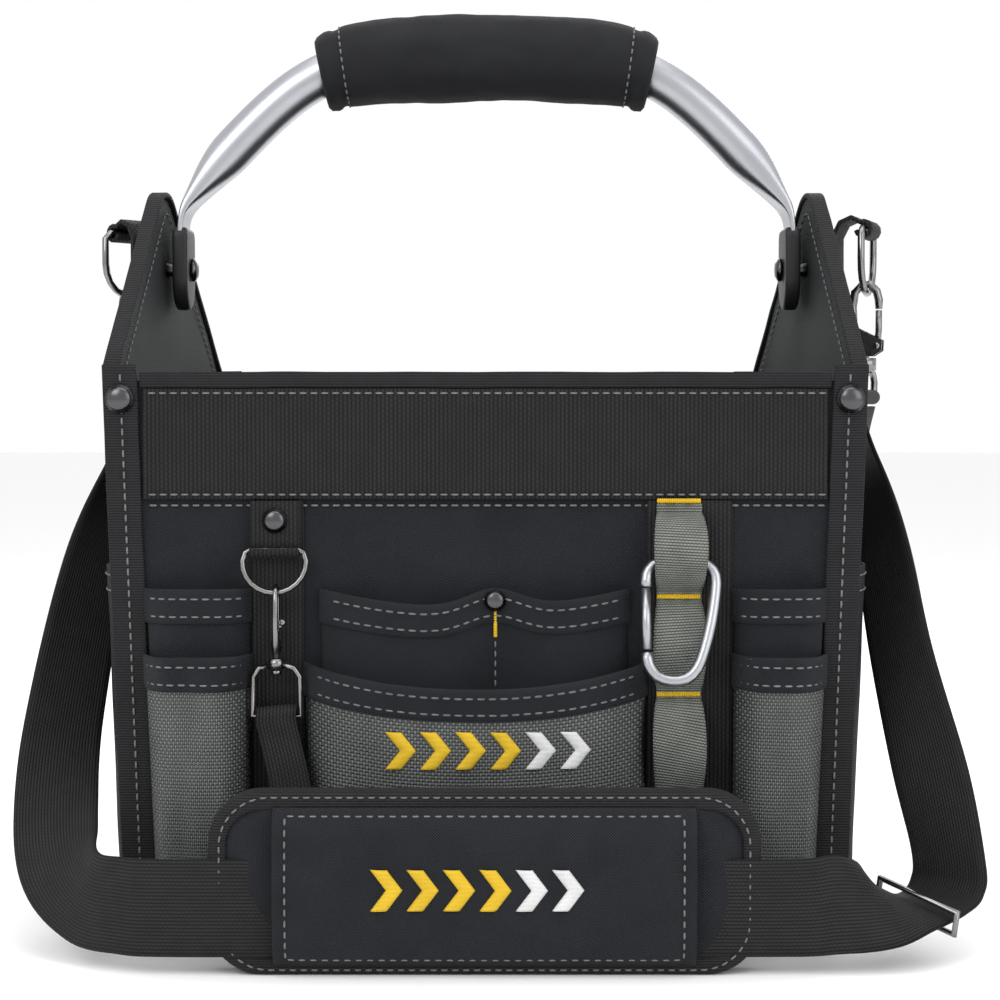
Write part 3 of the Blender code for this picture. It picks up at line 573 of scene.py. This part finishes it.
EDGE_STITCH_IN = 7.5
TAPE_Y = FRONT_FACE - 2.1
BACK_TAPE_Y = BACK_Y + 2.4
for label, side in SIDES:
    line = [(side * (side_x(FRONT_Y, z) - EDGE_STITCH_IN), TAPE_Y, z) for z in range(6, 236, 6)]
    seam(f"{label}_edge_stitches", line, FORWARD, "bag")
    line = [(side * (side_x(BACK_Y, z) - EDGE_STITCH_IN), BACK_TAPE_Y, z) for z in range(6, 236, 6)]
    seam(f"{label}_back_edge_stitches", line, (0, 1, 0), "bag")
half = side_x(FRONT_Y, 200) - BINDING_W - 3
back_half = side_x(BACK_Y, 226) - BINDING_W - 3
seam("hem_stitches", [(-half, TAPE_Y, 226.3), (half, TAPE_Y, 226.3)], FORWARD, "bag")
back_y = BACK_TAPE_Y - 0.1
seam("back_hem_stitches", [(-back_half, back_y, 226.3), (back_half, back_y, 226.3)], (0, 1, 0), "bag")
seam("band_foot_stitches", [(-half, TAPE_Y, 185.0), (half, TAPE_Y, 185.0)], FORWARD, "bag")
panel_y = FRONT_FACE - 0.3
seam("panel_stitches", [(-half, panel_y, 180.5), (half, panel_y, 180.5)], FORWARD, "bag")


# ---------------------------------------------------------------- pockets


def folds(x, z, seed, amount):
    """Soft upright creases, in millimetres."""
    broad = noise.noise(Vector((x * 0.045 + seed, z * 0.010, seed)))
    fine = noise.noise(Vector((x * 0.11 + seed * 3, z * 0.035, seed + 4)))
    return amount * (broad + 0.4 * fine)


def fullness(u, v):
    """How far a pocket stands out of its seams: none at its sides and foot, all in its middle."""
    across = (1 - abs(2 * u - 1) ** 4.0) ** 0.7 if 0 < u < 1 else 0
    up = min(1.0, v / 0.12) ** 0.6 if v > 0 else 0
    return across * up


class Pocket:
    """A pocket front as a surface: u across from the left seam, v up from the foot."""

    def __init__(self, name, bottom, top, low, high, depth, dip=0.0, pin=None, crease=1.2, seed=0.0):
        self.name, self.bottom, self.top, self.low, self.high = name, bottom, top, low, high
        self.depth, self.dip, self.pin, self.crease, self.seed = depth, dip, pin, crease, seed

    def place(self, u, v, lift=0.0):
        left = self.bottom[0] + (self.top[0] - self.bottom[0]) * v
        right = self.bottom[1] + (self.top[1] - self.bottom[1]) * v
        x = left + (right - left) * u
        full = fullness(u, v)
        sag = 1 - (2 * u - 1) ** 2
        if self.pin is not None:
            hold = math.exp(-(((u - self.pin) / 0.13) ** 2))
            full *= 1 - 0.8 * hold
            sag *= 1 - hold
        z = self.low + (self.high - self.low) * v - self.dip * v * sag
        seam_free = min(1.0, 8 * u, 8 * (1 - u), 6 * v + 0.2)
        crease = folds(x, z, self.seed, self.crease) * seam_free
        return Vector((x, FRONT_FACE - self.depth * full - max(crease, -2.5) - lift, z))

    def build(self, look, hem=13.0):
        columns = max(26, int(abs(self.top[1] - self.top[0]) / 2.2))
        cloth(f"{self.name}_cloth", self.place, columns, 34, 1.3, look, "bag", (self.name,))
        height = self.high - self.low
        start = 1 - hem / height

        def over(u, v, lift):
            """A spot on the hem, which wraps round the pocket's sides."""
            aside = math.copysign(1.5 * abs(2 * u - 1) ** 10, u - 0.5)
            return self.place(u, v, lift) + Vector((aside, 0, 0))

        def band(u, v):
            """The hem, its mouth rolled back."""
            roll = max(0.0, v - 0.86) / 0.14
            return over(u, start + (1 - start) * v, 1.35) + Vector((0, 0.9 * roll * roll, 0.7 * roll))

        cloth(f"{self.name}_hem", band, columns, 8, 0.8, TWILL, "bag")
        for k, drop in enumerate((3.0, 10.2)):
            line = [over(0.035 + 0.93 * i / 60, 1 - drop / height, 2.3) for i in range(61)]
            seam(f"{self.name}_hem_stitches_{k}", line, FORWARD, "bag", pitch=4.6, radius=0.42)


def edge_x(z):
    """Where the front's corner binding begins."""
    return side_x(FRONT_Y, z) - BINDING_W - 0.9


# The outer pockets' rows: (level, set in by, foot, mouth, depth, creases, seed)
OUTER_POCKETS = (("upper", 0.5, 40, 146, 9, 0.6, 1.0), ("lower", 0, 6, 119.5, 20, 3.0, 5.0))
for label, side, inner in (("left", -1, 97.0), ("right", 1, 102.5)):
    for level, inset, foot, mouth, depth, crease, seed in OUTER_POCKETS:
        spans = [sorted((side * (inner + inset), side * (edge_x(z) - inset))) for z in (6, 146)]
        made = Pocket(
            f"{label}_{level}_pocket", *spans, foot, mouth, depth, crease=crease, seed=seed + 7 * side
        )
        made.build(TWILL if level == "upper" else BALLISTIC)
PIN_AT = 0.57
centre_upper = Pocket("centre_upper_pocket", (-66, 57), (-66, 57), 40, 146, 12, 7, PIN_AT, 0.5, 2.0)
centre_upper.build(TWILL)
LOWER_X = (-72.5, 64.5)
LOWER_Z = (6, 116)
LOWER_DIP = 9
centre_lower = Pocket(
    "centre_lower_pocket", LOWER_X, LOWER_X, *LOWER_Z, 23.0, LOWER_DIP, crease=2.8, seed=11.0
)
centre_lower.build(BALLISTIC)

pin_line = [centre_upper.place(PIN_AT, v / 40, 1.7) for v in range(37, 18, -1)]
seam("pocket_divider_stitches", pin_line, FORWARD, "bag", length=2.6, pitch=4.0, radius=0.4)
seam("pocket_bar_tack", pin_line[:5], FORWARD, "bag", YELLOW, length=1.6, pitch=1.1, radius=0.8)


SIDE_POCKET_HALF = 78
SIDE_POCKET_FOOT = 8
SIDE_POCKET_HIGH = 146


def side_pocket(side, u, v, lift=0.0):
    """The pocket on a side wall: u runs from front to back, v up from the foot."""
    y = SIDE_POCKET_HALF * (2 * u - 1)
    z = SIDE_POCKET_FOOT + SIDE_POCKET_HIGH * v
    crease = folds(y, z, 30.0 + side, 1.2) * min(1.0, 8 * u, 8 * (1 - u), 6 * v + 0.2)
    return side * (side_x(y, z) + 0.5 + 13 * fullness(u, v) + crease + lift), y, z


for label, side in SIDES:
    place = partial(side_pocket, side)
    node = f"{label}_side_pocket"
    cloth(f"{node}_cloth", place, 50, 34, 1.3, TWILL, "bag", (node,), float(side))
    for k, v in enumerate((0.975, 0.93)):
        line = [place(0.02 + 0.96 * i / 60, v, 1.6) for i in range(61)]
        seam(f"{node}_stitches_{k}", line, (side, 0, 0), "bag", pitch=4.6, radius=0.42)


# ---------------------------------------------------------------- side peaks' stitching


def peak_line(side, inset, inner):
    """A line just inside the side panel's upper edge, on its inner or outer face."""
    corner_y, corner_z = PEAK_CORNER
    rise, run = PEAK_Z - corner_z, corner_y
    tangent = math.pi / 2 + math.atan2(rise, run) + math.asin(PEAK_R / math.hypot(rise, run))
    normal = Vector((0, math.cos(tangent), math.sin(tangent)))
    along = Vector((0, normal.z, -normal.y))
    start = Vector((0, -corner_y, corner_z)) + along * 6 - normal * inset
    turns = [tangent + (math.pi / 2 - tangent) * i / 5 for i in range(6)]
    top = Vector((0, 0, PEAK_Z))
    tip = [top + Vector((0, math.cos(a), math.sin(a))) * (PEAK_R - inset) for a in turns]
    half_line = [start, *tip]
    line = half_line + [Vector((0, -p.y, p.z)) for p in half_line[-2::-1]]
    shift = -4.6 if inner else 0.6
    return [Vector((side * (side_x(p.y, p.z) + shift), p.y, p.z)) for p in line]


for label, side in SIDES:
    seam(f"{label}_peak_stitches_in", peak_line(side, 7.0, True), (-side, 0, 0), "bag")
    seam(f"{label}_peak_stitches_out", peak_line(side, 7.0, False), (side, 0, 0), "bag")


# ---------------------------------------------------------------- sockets over the handle's ends

# Across the socket from its inner face to its outer one: (distance from the middle, how much fuller)
SOCKET_LEVELS = (
    (132.7, -2.2), (132.8, -1.2), (133.3, -0.4), (134.2, 0.0), (138.0, 0.0), (138.9, -0.4), (139.4, -1.4),
)
SOCKET_FOOT_R = 14.0
SOCKET_CORNER_R = 4.5
SOCKET_CORNER = (9, 296)


def arc(cy, cz, radius, start, end, steps):
    """Points on an arc in y and z, angles in degrees."""
    turns = [math.radians(start + (end - start) * i / steps) for i in range(steps + 1)]
    return [Vector((0, cy + radius * math.cos(a), cz + radius * math.sin(a))) for a in turns]


def socket(name, side, node):
    """A moulded tongue, round at its foot, thicker round the screw, open at its top for the tube."""
    cy, cz = SOCKET_CORNER
    outline = [
        *arc(0, PIVOT_Z - 4, SOCKET_FOOT_R, 180, 360, 16),
        *arc(cy, cz, SOCKET_CORNER_R, 0, 90, 6),
        *arc(-cy, cz, SOCKET_CORNER_R, 90, 180, 6),
    ]
    middle = Vector((0, 0, PIVOT_Z))
    bm = bmesh.new()
    loops = []
    for x, grow in SOCKET_LEVELS:
        face = Vector((side * x, 0, 0))
        loops.append([bm.verts.new((p + (p - middle).normalized() * grow + face) * MM) for p in outline])
    skin(bm, loops)
    bm.faces.new(loops[0])
    bm.faces.new(loops[-1])
    keep(name, closed_mesh(bm, name, 45), MOULDED, "handle", node)


for label, side in SIDES:
    socket(f"{label}_socket", side, f"{label}_handle_bracket")


# ---------------------------------------------------------------- handle tube and grip

# The handle's centre line from its right foot to its middle: (x, z)
HANDLE_HALF = (
    (136.1, 275.2), (136.1, 290), (136.1, 301), (134.2, 309), (129, 317), (120, 328.5), (108, 341.5),
    (95, 354), (82, 364), (68, 371), (50, 374.6), (25, 376), (0, 376.3),
)
right_half = [Vector((x, 0, z)) for x, z in HANDLE_HALF]
left_half = [Vector((-p.x, 0, p.z)) for p in right_half[:-1]]
handle_line = smooth_path([*left_half, *right_half[::-1]], 8)

TUBE_SIDES = 40
# The flat foot: half its thickness, half its width and how square it is
TONGUE = (1.4, 12.5, 0.35)
TONGUE_TOP = 302
ROUND_FROM = 336


def handle_section(point):
    """Half the tube's thickness and width, and how square it is: flat at its feet, round higher up."""
    t = min(1.0, max(0.0, (point.z - TONGUE_TOP) / (ROUND_FROM - TONGUE_TOP)))
    ease = t * t * (3 - 2 * t)
    return [flat + (full - flat) * ease for flat, full in zip(TONGUE, (TUBE_R, TUBE_R, 1.0))]


def power(value, exponent):
    """A power that keeps the sign."""
    return math.copysign(abs(value) ** exponent, value)


bm = bmesh.new()
rings = []
for i, point in enumerate(handle_line):
    thick, wide, square = handle_section(point)
    along = handle_line[min(i + 1, len(handle_line) - 1)] - handle_line[max(i - 1, 0)]
    up = Vector((0, 1, 0)).cross(along).normalized()
    ring = []
    for k in range(TUBE_SIDES):
        turn = math.tau * k / TUBE_SIDES
        across = Vector((0, power(math.sin(turn), square) * wide, 0))
        ring.append(bm.verts.new((point + up * power(math.cos(turn), square) * thick + across) * MM))
    rings.append(ring)
skin(bm, rings)
bm.faces.new(rings[0])
bm.faces.new(rings[-1])
keep("handle_tube_smooth", closed_mesh(bm, "handle_tube_smooth", 50), ALUMINIUM, "handle", "handle_tube")


def handle_z(x):
    """Height of the handle's centre line, and its direction, at x."""
    best = min(range(1, len(handle_line) - 1), key=lambda i: abs(handle_line[i].x - x))
    a, b = handle_line[best - 1], handle_line[best + 1]
    t = (x - a.x) / (b.x - a.x)
    return a.z + (b.z - a.z) * t, (b - a).normalized()


def grip_line(x):
    """The grip's ends are cut nearer to upright than square to the tube."""
    z, along = handle_z(x)
    return z, (along + Vector((0.9, 0, 0))).normalized()


def grip_place(u, v, lift=0.0):
    """v runs along the grip, u round it: a bead at each end, a stitched groove beside it, soft lumps."""
    x = -GRIP_HALF + 2 * GRIP_HALF * v
    z, along = grip_line(x)
    turn = math.tau * u
    end = abs(2 * v - 1)
    radius = GRIP_R - 0.9 - 2.2 * end**5
    radius += 0.7 * math.exp(-(((end - 0.955) / 0.03) ** 2))
    radius -= 1.0 * math.exp(-(((end - 0.90) / 0.018) ** 2))
    lumps = noise.noise(Vector((x * 0.03, 2 * math.cos(turn), 2 * math.sin(turn))))
    wrinkle = noise.noise(Vector((x * 0.12, 3 * math.cos(turn), 3 * math.sin(turn) + 9)))
    radius += 0.9 * lumps + 0.35 * wrinkle + lift
    return Vector((x, 0, z)) + round_way(along, turn) * radius


def round_way(along, turn):
    """The way outwards from the handle's centre line at a turn round it."""
    return Vector((-along.z, 0, along.x)) * math.cos(turn) + Vector((0, 1, 0)) * math.sin(turn)


def grip_end(bm, ring, v, step):
    """Closes the cover's end inwards, down to the tube."""
    x = -GRIP_HALF + 2 * GRIP_HALF * v
    z, along = grip_line(x)
    loops = [ring]
    for radius, back in ((GRIP_R - 4.8, 1.2), (10.6, 0.4), (9.9, -2.0)):
        centre = Vector((x, 0, z)) - along * back * step
        turns = [math.tau * i / GRIP_COLUMNS for i in range(GRIP_COLUMNS)]
        loops.append([bm.verts.new((centre + round_way(along, t) * radius) * MM) for t in turns])
    skin(bm, loops)


GRIP_ROWS = 90
GRIP_COLUMNS = 48
bm = bmesh.new()
rings = []
for j in range(GRIP_ROWS + 1):
    ring = [grip_place(i / GRIP_COLUMNS, j / GRIP_ROWS) for i in range(GRIP_COLUMNS)]
    rings.append([bm.verts.new(p * MM) for p in ring])
skin(bm, rings)
grip_end(bm, rings[0], 0.0, 1)
grip_end(bm, rings[-1], 1.0, -1)
grip = keep("grip_cover", closed_mesh(bm, "grip_cover"), GRIP, "handle", "handle_grip")
for k, v in enumerate((0.062, 0.938)):
    line = [grip_place(0.5 + i / 40, v, 0.15) for i in range(41)]
    centre = (line[0] + line[20]) / 2
    ways = [(p - centre).normalized() for p in line]
    seam(f"grip_stitches_{k}", line, ways, "handle", length=2.4, pitch=3.8, radius=0.4)


# ---------------------------------------------------------------- straps

# From the left eye round the front to the right eye: (centre, the way its width runs)
STRAP_PATH = (
    ((-164.7, 27.5, 219.4), (0, 1, 0)),
    ((-165, 20, 203), (0.12, 1, 0)),
    ((-172, -12, 160), (0.6, 0.8, 0)),
    ((-178, -42, 112), (0.72, 0.69, 0)),
    ((-180, -70, 72), (0.8, 0.58, 0.12)),
    ((-174, -104, 42), (0.8, 0.25, 0.55)),
    ((-160, -130, 28), (0.3, 0, 0.95)),
    ((-142, -143, 26.5), (0.04, 0, 1)),
    ((-122, STRAP_Y, STRAP_Z), (0, 0, 1)),
    ((-60, STRAP_Y, STRAP_Z), (0, 0, 1)),
    ((60, STRAP_Y, STRAP_Z), (0, 0, 1)),
    ((120, STRAP_Y, STRAP_Z), (0, 0, 1)),
    ((137, -143.5, 27), (-0.1, 0.2, 0.97)),
    ((153, -134.5, 25), (-0.3, 0.55, 0.78)),
    ((166, -124.5, 22), (-0.5, 0.8, 0.3)),
    ((180, -112.5, 20.5), (-0.58, 0.81, 0)),
    ((187.5, -106, 26), (-0.6, 0.8, 0)),
    ((188.5, -103, 38), (-0.62, 0.78, 0)),
    ((183, -90, 72), (-0.7, 0.71, 0)),
    ((175.5, -61, 120), (-0.56, 0.83, 0)),
    ((172, -28, 170), (-0.4, 0.92, 0)),
    ((171, -6, 205), (0.1, 1, 0)),
    ((170.8, 0, 220.8), (0.34, 0.94, 0)),
)


def ribbon(name, stations, width, look, body, replaced, steps=10, across=10, ripple=0.5):
    """Webbing 1.6 mm thick bent through its stations, with a slight ripple."""
    centres = smooth_path([c for c, _ in stations], steps)
    ways = [w.normalized() for w in smooth_path([w for _, w in stations], steps)]
    last = len(centres) - 1
    normals = []
    for i, way in enumerate(ways):
        along = (centres[min(i + 1, last)] - centres[max(i - 1, 0)]).normalized()
        normals.append(way.cross(along).normalized())

    def spot(u, v):
        i = round(v * last)
        wave = noise.noise(centres[i] * 0.03) + 0.5 * noise.noise(Vector((u * 2, i * 0.13, 5)))
        cup = 0.3 * (2 * u - 1) ** 2
        return centres[i] + ways[i] * (u - 0.5) * width + normals[i] * (wave * ripple + cup)

    cloth(name, spot, across, last, 1.6, look, body, replaced, 0.0)


ribbon("strap_webbing", STRAP_PATH, 38.0, STRAP_WEB, "bag", ("shoulder_strap",))

LANYARD = (
    (-84.7, -101.4, 89), (-84.7, -101.2, 93), (-84.7, -101.9, 97.3), (-84.7, -104.1, 98.9),
    (-84.7, -106.3, 97.3), (-84.7, -106.8, 93), (-83, -107.5, 86), (-79.5, -110.5, 72),
    (-77.5, -112.5, 59),
)
stations = [(p, (1, 0, 0.08)) for p in LANYARD]
ribbon("lanyard_webbing", stations, 16.2, STRAP_WEB, "clip_lanyard", ("lanyard_strap",), 8, 6, 0.2)


# ---------------------------------------------------------------- hook bodies and eyes

# The point the right hook hangs by, before it is turned to its place: (x, z)
HANG = (170.8, 271.5)
# How each side's ring and hook stand: (turn in degrees, about this x, shift in x and y, turn of the eye)
FITTINGS = {1: (-20.0, 171.0, (0.0, 0.0), -20.0), -1: (40.0, 153.0, (-2.0, 16.0), 0.0)}


def turned_about(x, degrees):
    """A turn about the upright line at x."""
    pin = Vector((x, 0, 0))
    return Matrix.Translation(pin) @ Matrix.Rotation(math.radians(degrees), 4, "Z") @ Matrix.Translation(-pin)


def fitting_place(side):
    """Takes a fitting drawn on the right, its ring's bar along Y, to its place (in mm)."""
    turn, about, shift, _ = FITTINGS[side]
    mirror = Matrix.Scale(side, 4, Vector((1, 0, 0)))
    return mirror @ Matrix.Translation((*shift, 0)) @ turned_about(about, turn)


def slab(bm, outline, low, high):
    """A plate with an outline in x and z, from y = low to y = high."""
    near = [bm.verts.new((x, low, z)) for x, z in outline]
    far = [bm.verts.new((x, high, z)) for x, z in outline]
    for i in range(len(outline)):
        bm.faces.new((near[i - 1], near[i], far[i], far[i - 1]))
    bm.faces.new(near)
    bm.faces.new(far)


def ball(bm, centre, radii):
    """A ball stretched to three radii."""
    made = bmesh.ops.create_uvsphere(bm, u_segments=16, v_segments=10, radius=1.0)
    for vert in made["verts"]:
        vert.co = Vector(centre) + Vector([c * r for c, r in zip(vert.co, radii)])


def placed(bm, name, place, look, body):
    """Brings a form drawn in millimetres to its place, and adds it."""
    bmesh.ops.transform(bm, matrix=Matrix.Scale(MM, 4) @ place, verts=bm.verts)
    bm.normal_update()
    keep(name, closed_mesh(bm, name, 45), look, body)


# A hook body's two cheeks and the core between them: (x, z) from the point it hangs by
CHEEK = (
    (-6.5, -14), (-7.4, -19), (-3.6, -26.2), (0, -28.2), (3.6, -28.2), (7.4, -25.8), (7.6, -21), (3, -18.6),
)
CORE = (
    (-6.3, -15), (-7.0, -19), (-3.4, -26), (0, -28), (3.4, -28), (6.2, -26.2), (1.6, -25), (-0.6, -19),
)
# How far the eye's bar is below that point
EYE_DROP = 46.5
# The webbing round an eye's bar: (radius, along the bar) at the corners of its section
LOOP_SECTION = ((3.3, 17.6), (3.3, -17.6), (1.95, -17.6), (1.95, 17.6))

for label, side in SIDES:
    x, z = HANG
    bm = bmesh.new()
    for low, high in ((-2.8, -1.95), (1.95, 2.8)):
        slab(bm, [(x + a, z + b) for a, b in CHEEK], low, high)
        ball(bm, (x + 5.1, (low + high) / 2 * 1.1, z - 23.5), (1.5, 0.8, 1.5))
    slab(bm, [(x + a, z + b) for a, b in CORE], -1.96, 1.96)
    placed(bm, f"{label}_hook_body", fitting_place(side), NICKEL, f"{label}_snap_hook")

    bm = bmesh.new()
    turns = [math.tau * k / 24 for k in range(24)]
    rows = []
    for radius, y in LOOP_SECTION:
        spots = [(x + radius * math.cos(a), y, z - EYE_DROP + radius * math.sin(a)) for a in turns]
        rows.append([bm.verts.new(p) for p in spots])
    skin(bm, [*rows, rows[0]])
    place = fitting_place(side) @ turned_about(x, FITTINGS[side][3] - FITTINGS[side][0])
    placed(bm, f"{label}_strap_loop", place, STRAP_WEB, f"{label}_eye")

# The thumb lever and shoulder of the small hook at the front
x, y, z = CLIP
bm = bmesh.new()
ball(bm, (x, y, z - 21.5), (2.3, 2.1, 3.4))
ball(bm, (x + 2.4, y - 0.8, z - 12.0), (1.6, 1.3, 1.5))
ball(bm, (x + 1.1, y - 0.5, z - 13.5), (1.5, 1.0, 1.0))
placed(bm, "clip_lever", Matrix.Identity(4), NICKEL, "clip")


# ---------------------------------------------------------------- shoulder pad


def rounded(half, low, high, radius, steps=8):
    """A rectangle with round corners in x and z."""
    found = []
    for cx, cz, start in (
        (half - radius, high - radius, 0), (radius - half, high - radius, 90),
        (radius - half, low + radius, 180), (half - radius, low + radius, 270),
    ):
        for i in range(steps + 1):
            a = math.radians(start + 90 * i / steps)
            found.append(Vector((cx + radius * math.cos(a), 0, cz + radius * math.sin(a))))
    return found


CUSHION_LOOPS = 9
EDGE_R = 20.0


def cushion(name, half, low, high, radius, back, front, look, body, replaced, crown, pressure):
    """A stuffed pad: a closed form with full faces, puffed by a short cloth run."""
    outline = rounded(half, low, high, radius)
    centre = Vector((0, 0, (low + high) / 2))
    bm = bmesh.new()
    loops = []
    for j in range(CUSHION_LOOPS + 1):
        t = j / CUSHION_LOOPS
        inset = 2.2 * (1 - math.sin(math.pi * t) ** 0.5)
        level = Vector((0, back + (front - back) * t, 0))
        loops.append([bm.verts.new((p + (centre - p).normalized() * inset + level) * MM) for p in outline])
    skin(bm, loops)
    bm.faces.new(loops[0])
    bm.faces.new(loops[-1])
    mesh = closed_mesh(bm, name)
    obj = bpy.data.objects.new(name, mesh)
    bpy.context.scene.collection.objects.link(obj)
    remesh = obj.modifiers.new("remesh", "REMESH")
    remesh.mode = "VOXEL"
    remesh.voxel_size = 3.0 * MM
    settle(obj)
    puff(obj, pressure)
    for vert in obj.data.vertices:
        p = vert.co / MM
        u = p.x / half
        w = (2 * p.z - low - high) / (high - low)
        full = max(0.0, 1 - u**4) * max(0.0, 1 - w**4)
        sign = -1 if p.y < (back + front) / 2 else 1
        vert.co.y += sign * (crown * full + 0.5 * noise.noise(p * 0.05)) * MM
        vert.co.y = min(max(vert.co.y, (min(back, front) - 2.5) * MM), (max(back, front) + 2.5) * MM)
        vert.co.z = max(vert.co.z, 0.4 * MM)
    smooth = obj.modifiers.new("smooth", "SMOOTH")
    smooth.factor = 0.5
    smooth.iterations = 3
    settle(obj)
    box_coordinates(obj.data)
    obj.data.shade_smooth()
    obj.data.materials.clear()
    obj.data.materials.append(look)
    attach(obj, body)
    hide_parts(*replaced)
    return obj


def settle(obj):
    """Applies the object's modifiers."""
    graph = bpy.context.evaluated_depsgraph_get()
    made = bpy.data.meshes.new_from_object(obj.evaluated_get(graph))
    obj.modifiers.clear()
    old = obj.data
    obj.data = made
    bpy.data.meshes.remove(old)


def puff(obj, pressure):
    """Fills the closed form with air for a moment, as cloth, and keeps the shape it takes."""
    before = [v.co.copy() for v in obj.data.vertices]
    sim = obj.modifiers.new("cloth", "CLOTH")
    sim.settings.use_pressure = True
    sim.settings.uniform_pressure_force = pressure
    sim.settings.tension_stiffness = 15
    sim.settings.compression_stiffness = 15
    sim.settings.bending_stiffness = 4
    sim.settings.effector_weights.gravity = 0.0
    sim.point_cache.frame_start = 1
    sim.point_cache.frame_end = 20
    for number in range(1, 21):
        bpy.context.scene.frame_set(number)
    settle(obj)
    bpy.context.scene.frame_set(1)
    for vert, old in zip(obj.data.vertices, before):
        move = vert.co - old
        limit = 1.8 * MM
        if move.length > limit:
            vert.co = old + move.normalized() * limit


pad = cushion(
    "pad_cushion", PAD_HALF, 0.6, PAD_TOP, EDGE_R, PAD_FRONT + PAD_DEEP, PAD_FRONT, TWILL, "pad",
    ("shoulder_pad",), crown=0.8, pressure=4.0,
)

# The binding round the pad's edge: (back from the pad's front, out from its edge) at each corner
BINDING = (
    (-1.3, -6.5), (-1.5, -5.0), (-1.4, -1.5), (-0.6, 0.3), (2.0, 0.8), (8.0, 0.8), (10.6, 0.3),
    (11.4, -1.5), (11.5, -5.0), (11.3, -6.5), (10.2, -6.3), (10.0, -1.8), (0.0, -1.8), (-0.2, -6.3),
)
edge_line = rounded(PAD_HALF + 0.4, 0.9, PAD_TOP + 0.2, EDGE_R, 12)
bm = bmesh.new()
rings = []
for i, p in enumerate(edge_line):
    along = (edge_line[(i + 1) % len(edge_line)] - edge_line[i - 1]).normalized()
    outwards = Vector((along.z, 0, -along.x))
    ring = []
    for dy, grow in BINDING:
        place = p + outwards * grow + Vector((0, PAD_FRONT + dy, 0))
        place.z = max(place.z, 0.3)
        ring.append(bm.verts.new(place * MM))
    rings.append(ring)
skin(bm, [*rings, rings[0]])
keep("pad_binding", closed_mesh(bm, "pad_binding"), TAPE, "pad")
middle = Vector((0, 0, PAD_TOP / 2))
front = Vector((0, PAD_FRONT - 1.9, 0))
line = [p + (middle - p).normalized() * 4.0 + front for p in edge_line]
seam("pad_binding_stitches", [*line, line[0]], FORWARD, "pad", length=2.6, pitch=4.2, radius=0.4)


def cover_place(u, v, lift=0.0):
    """The cover over the strap: full in the middle, held down along its top and foot, open at its ends."""
    x = COVER_HALF * (2 * u - 1)
    z = COVER_Z[0] + (COVER_Z[1] - COVER_Z[0]) * v
    held = 1 - (2 * v - 1) ** 6
    middle = 0.5 + 0.5 * (1 - (2 * u - 1) ** 4)
    dents = 0.9 * noise.noise(Vector((x * 0.03, z * 0.05, 3)))
    dents += 0.3 * noise.noise(Vector((x * 0.09, z * 0.1, 8)))
    pull = 0.9 * math.exp(-(((abs(2 * u - 1) - 0.94) / 0.03) ** 2))
    out = 1.4 + (4.4 + 1.6 * middle + dents) * held - pull + lift
    return Vector((x, PAD_FRONT - out, z))


cloth("pad_cover_cloth", cover_place, 90, 40, 1.3, TWILL, "pad", ("pad_cover",))
for k, u in enumerate((0.03, 0.97)):
    line = [cover_place(u, 0.03 + 0.94 * i / 30, 1.5) for i in range(31)]
    seam(f"cover_end_stitches_{k}", line, FORWARD, "pad", length=2.8, pitch=4.4)
for k, v in enumerate((0.035, 0.965)):
    line = [cover_place(0.03 + 0.94 * i / 60, v, 1.5) for i in range(61)]
    seam(f"cover_edge_stitches_{k}", line, FORWARD, "pad", length=2.8, pitch=4.4)


# ---------------------------------------------------------------- embroidered emblem, plain chevrons


# Across a stitched bar: (share of its width, how far it stands up)
BAR_SECTION = ((0.0, 0.0), (0.12, 0.55), (0.5, 0.8), (0.88, 0.55), (1.0, 0.0))
BAR_ROWS = 16
BAR_WIDTH = 6.5
BAR_LEAN = 6.0
BAR_PITCH = 14.0
BAR_LIFT = 1.45


def chevron(name, x, low, high, spot, look, body):
    """One raised bar of satin stitch, bent at its middle."""
    verts = []
    for j in range(BAR_ROWS + 1):
        t = j / BAR_ROWS
        start = x + BAR_LEAN * (1 - abs(2 * t - 1))
        for share, rise in BAR_SECTION:
            verts.append(spot(start + BAR_WIDTH * share, low + (high - low) * t, BAR_LIFT + rise) * MM)
    step = len(BAR_SECTION)
    corners = [j * step + i for j in range(BAR_ROWS) for i in range(step - 1)]
    mesh = bpy.data.meshes.new(name)
    mesh.from_pydata(verts, [], [(a, a + 1, a + step + 1, a + step) for a in corners])
    box_coordinates(mesh)
    mesh.shade_smooth()
    solid = keep(name, mesh, look, body).modifiers.new("thickness", "SOLIDIFY")
    solid.thickness = 0.4 * MM
    solid.offset = -1.0


def on_pocket(x, z, lift):
    """A place on the lower pocket's front, from x and z."""
    u = (x - LOWER_X[0]) / (LOWER_X[1] - LOWER_X[0])
    v = (z - LOWER_Z[0]) / (LOWER_Z[1] - LOWER_Z[0] - LOWER_DIP * (1 - (2 * u - 1) ** 2))
    return centre_lower.place(u, v, lift)


def on_cover(x, z, lift):
    """A place on the pad's cover, from x and z."""
    return cover_place(0.5 + x / COVER_HALF / 2, (z - COVER_Z[0]) / (COVER_Z[1] - COVER_Z[0]), lift)


for title, spot, body, start, low, high in (
    ("pocket_mark", on_pocket, "bag", -40.0, 76.0, 91.0),
    ("pad_mark", on_cover, "pad", -44.0, 27.0, 43.0),
):
    for i in range(6):
        look = YELLOW if i < 4 else WHITE
        chevron(f"{title}_{i}", start + BAR_PITCH * i, low, high, spot, look, body)

# Yellow tacks across the grey webbing
for i, z in enumerate((182.5, 143.5, 103.5)):
    line = [(CHAIN_X - 9 + 18 * k / 12, CHAIN_Y - 0.9, z) for k in range(13)]
    seam(f"webbing_tack_{i}", line, FORWARD, "bag", YELLOW, length=1.1, pitch=0.8, radius=1.05)
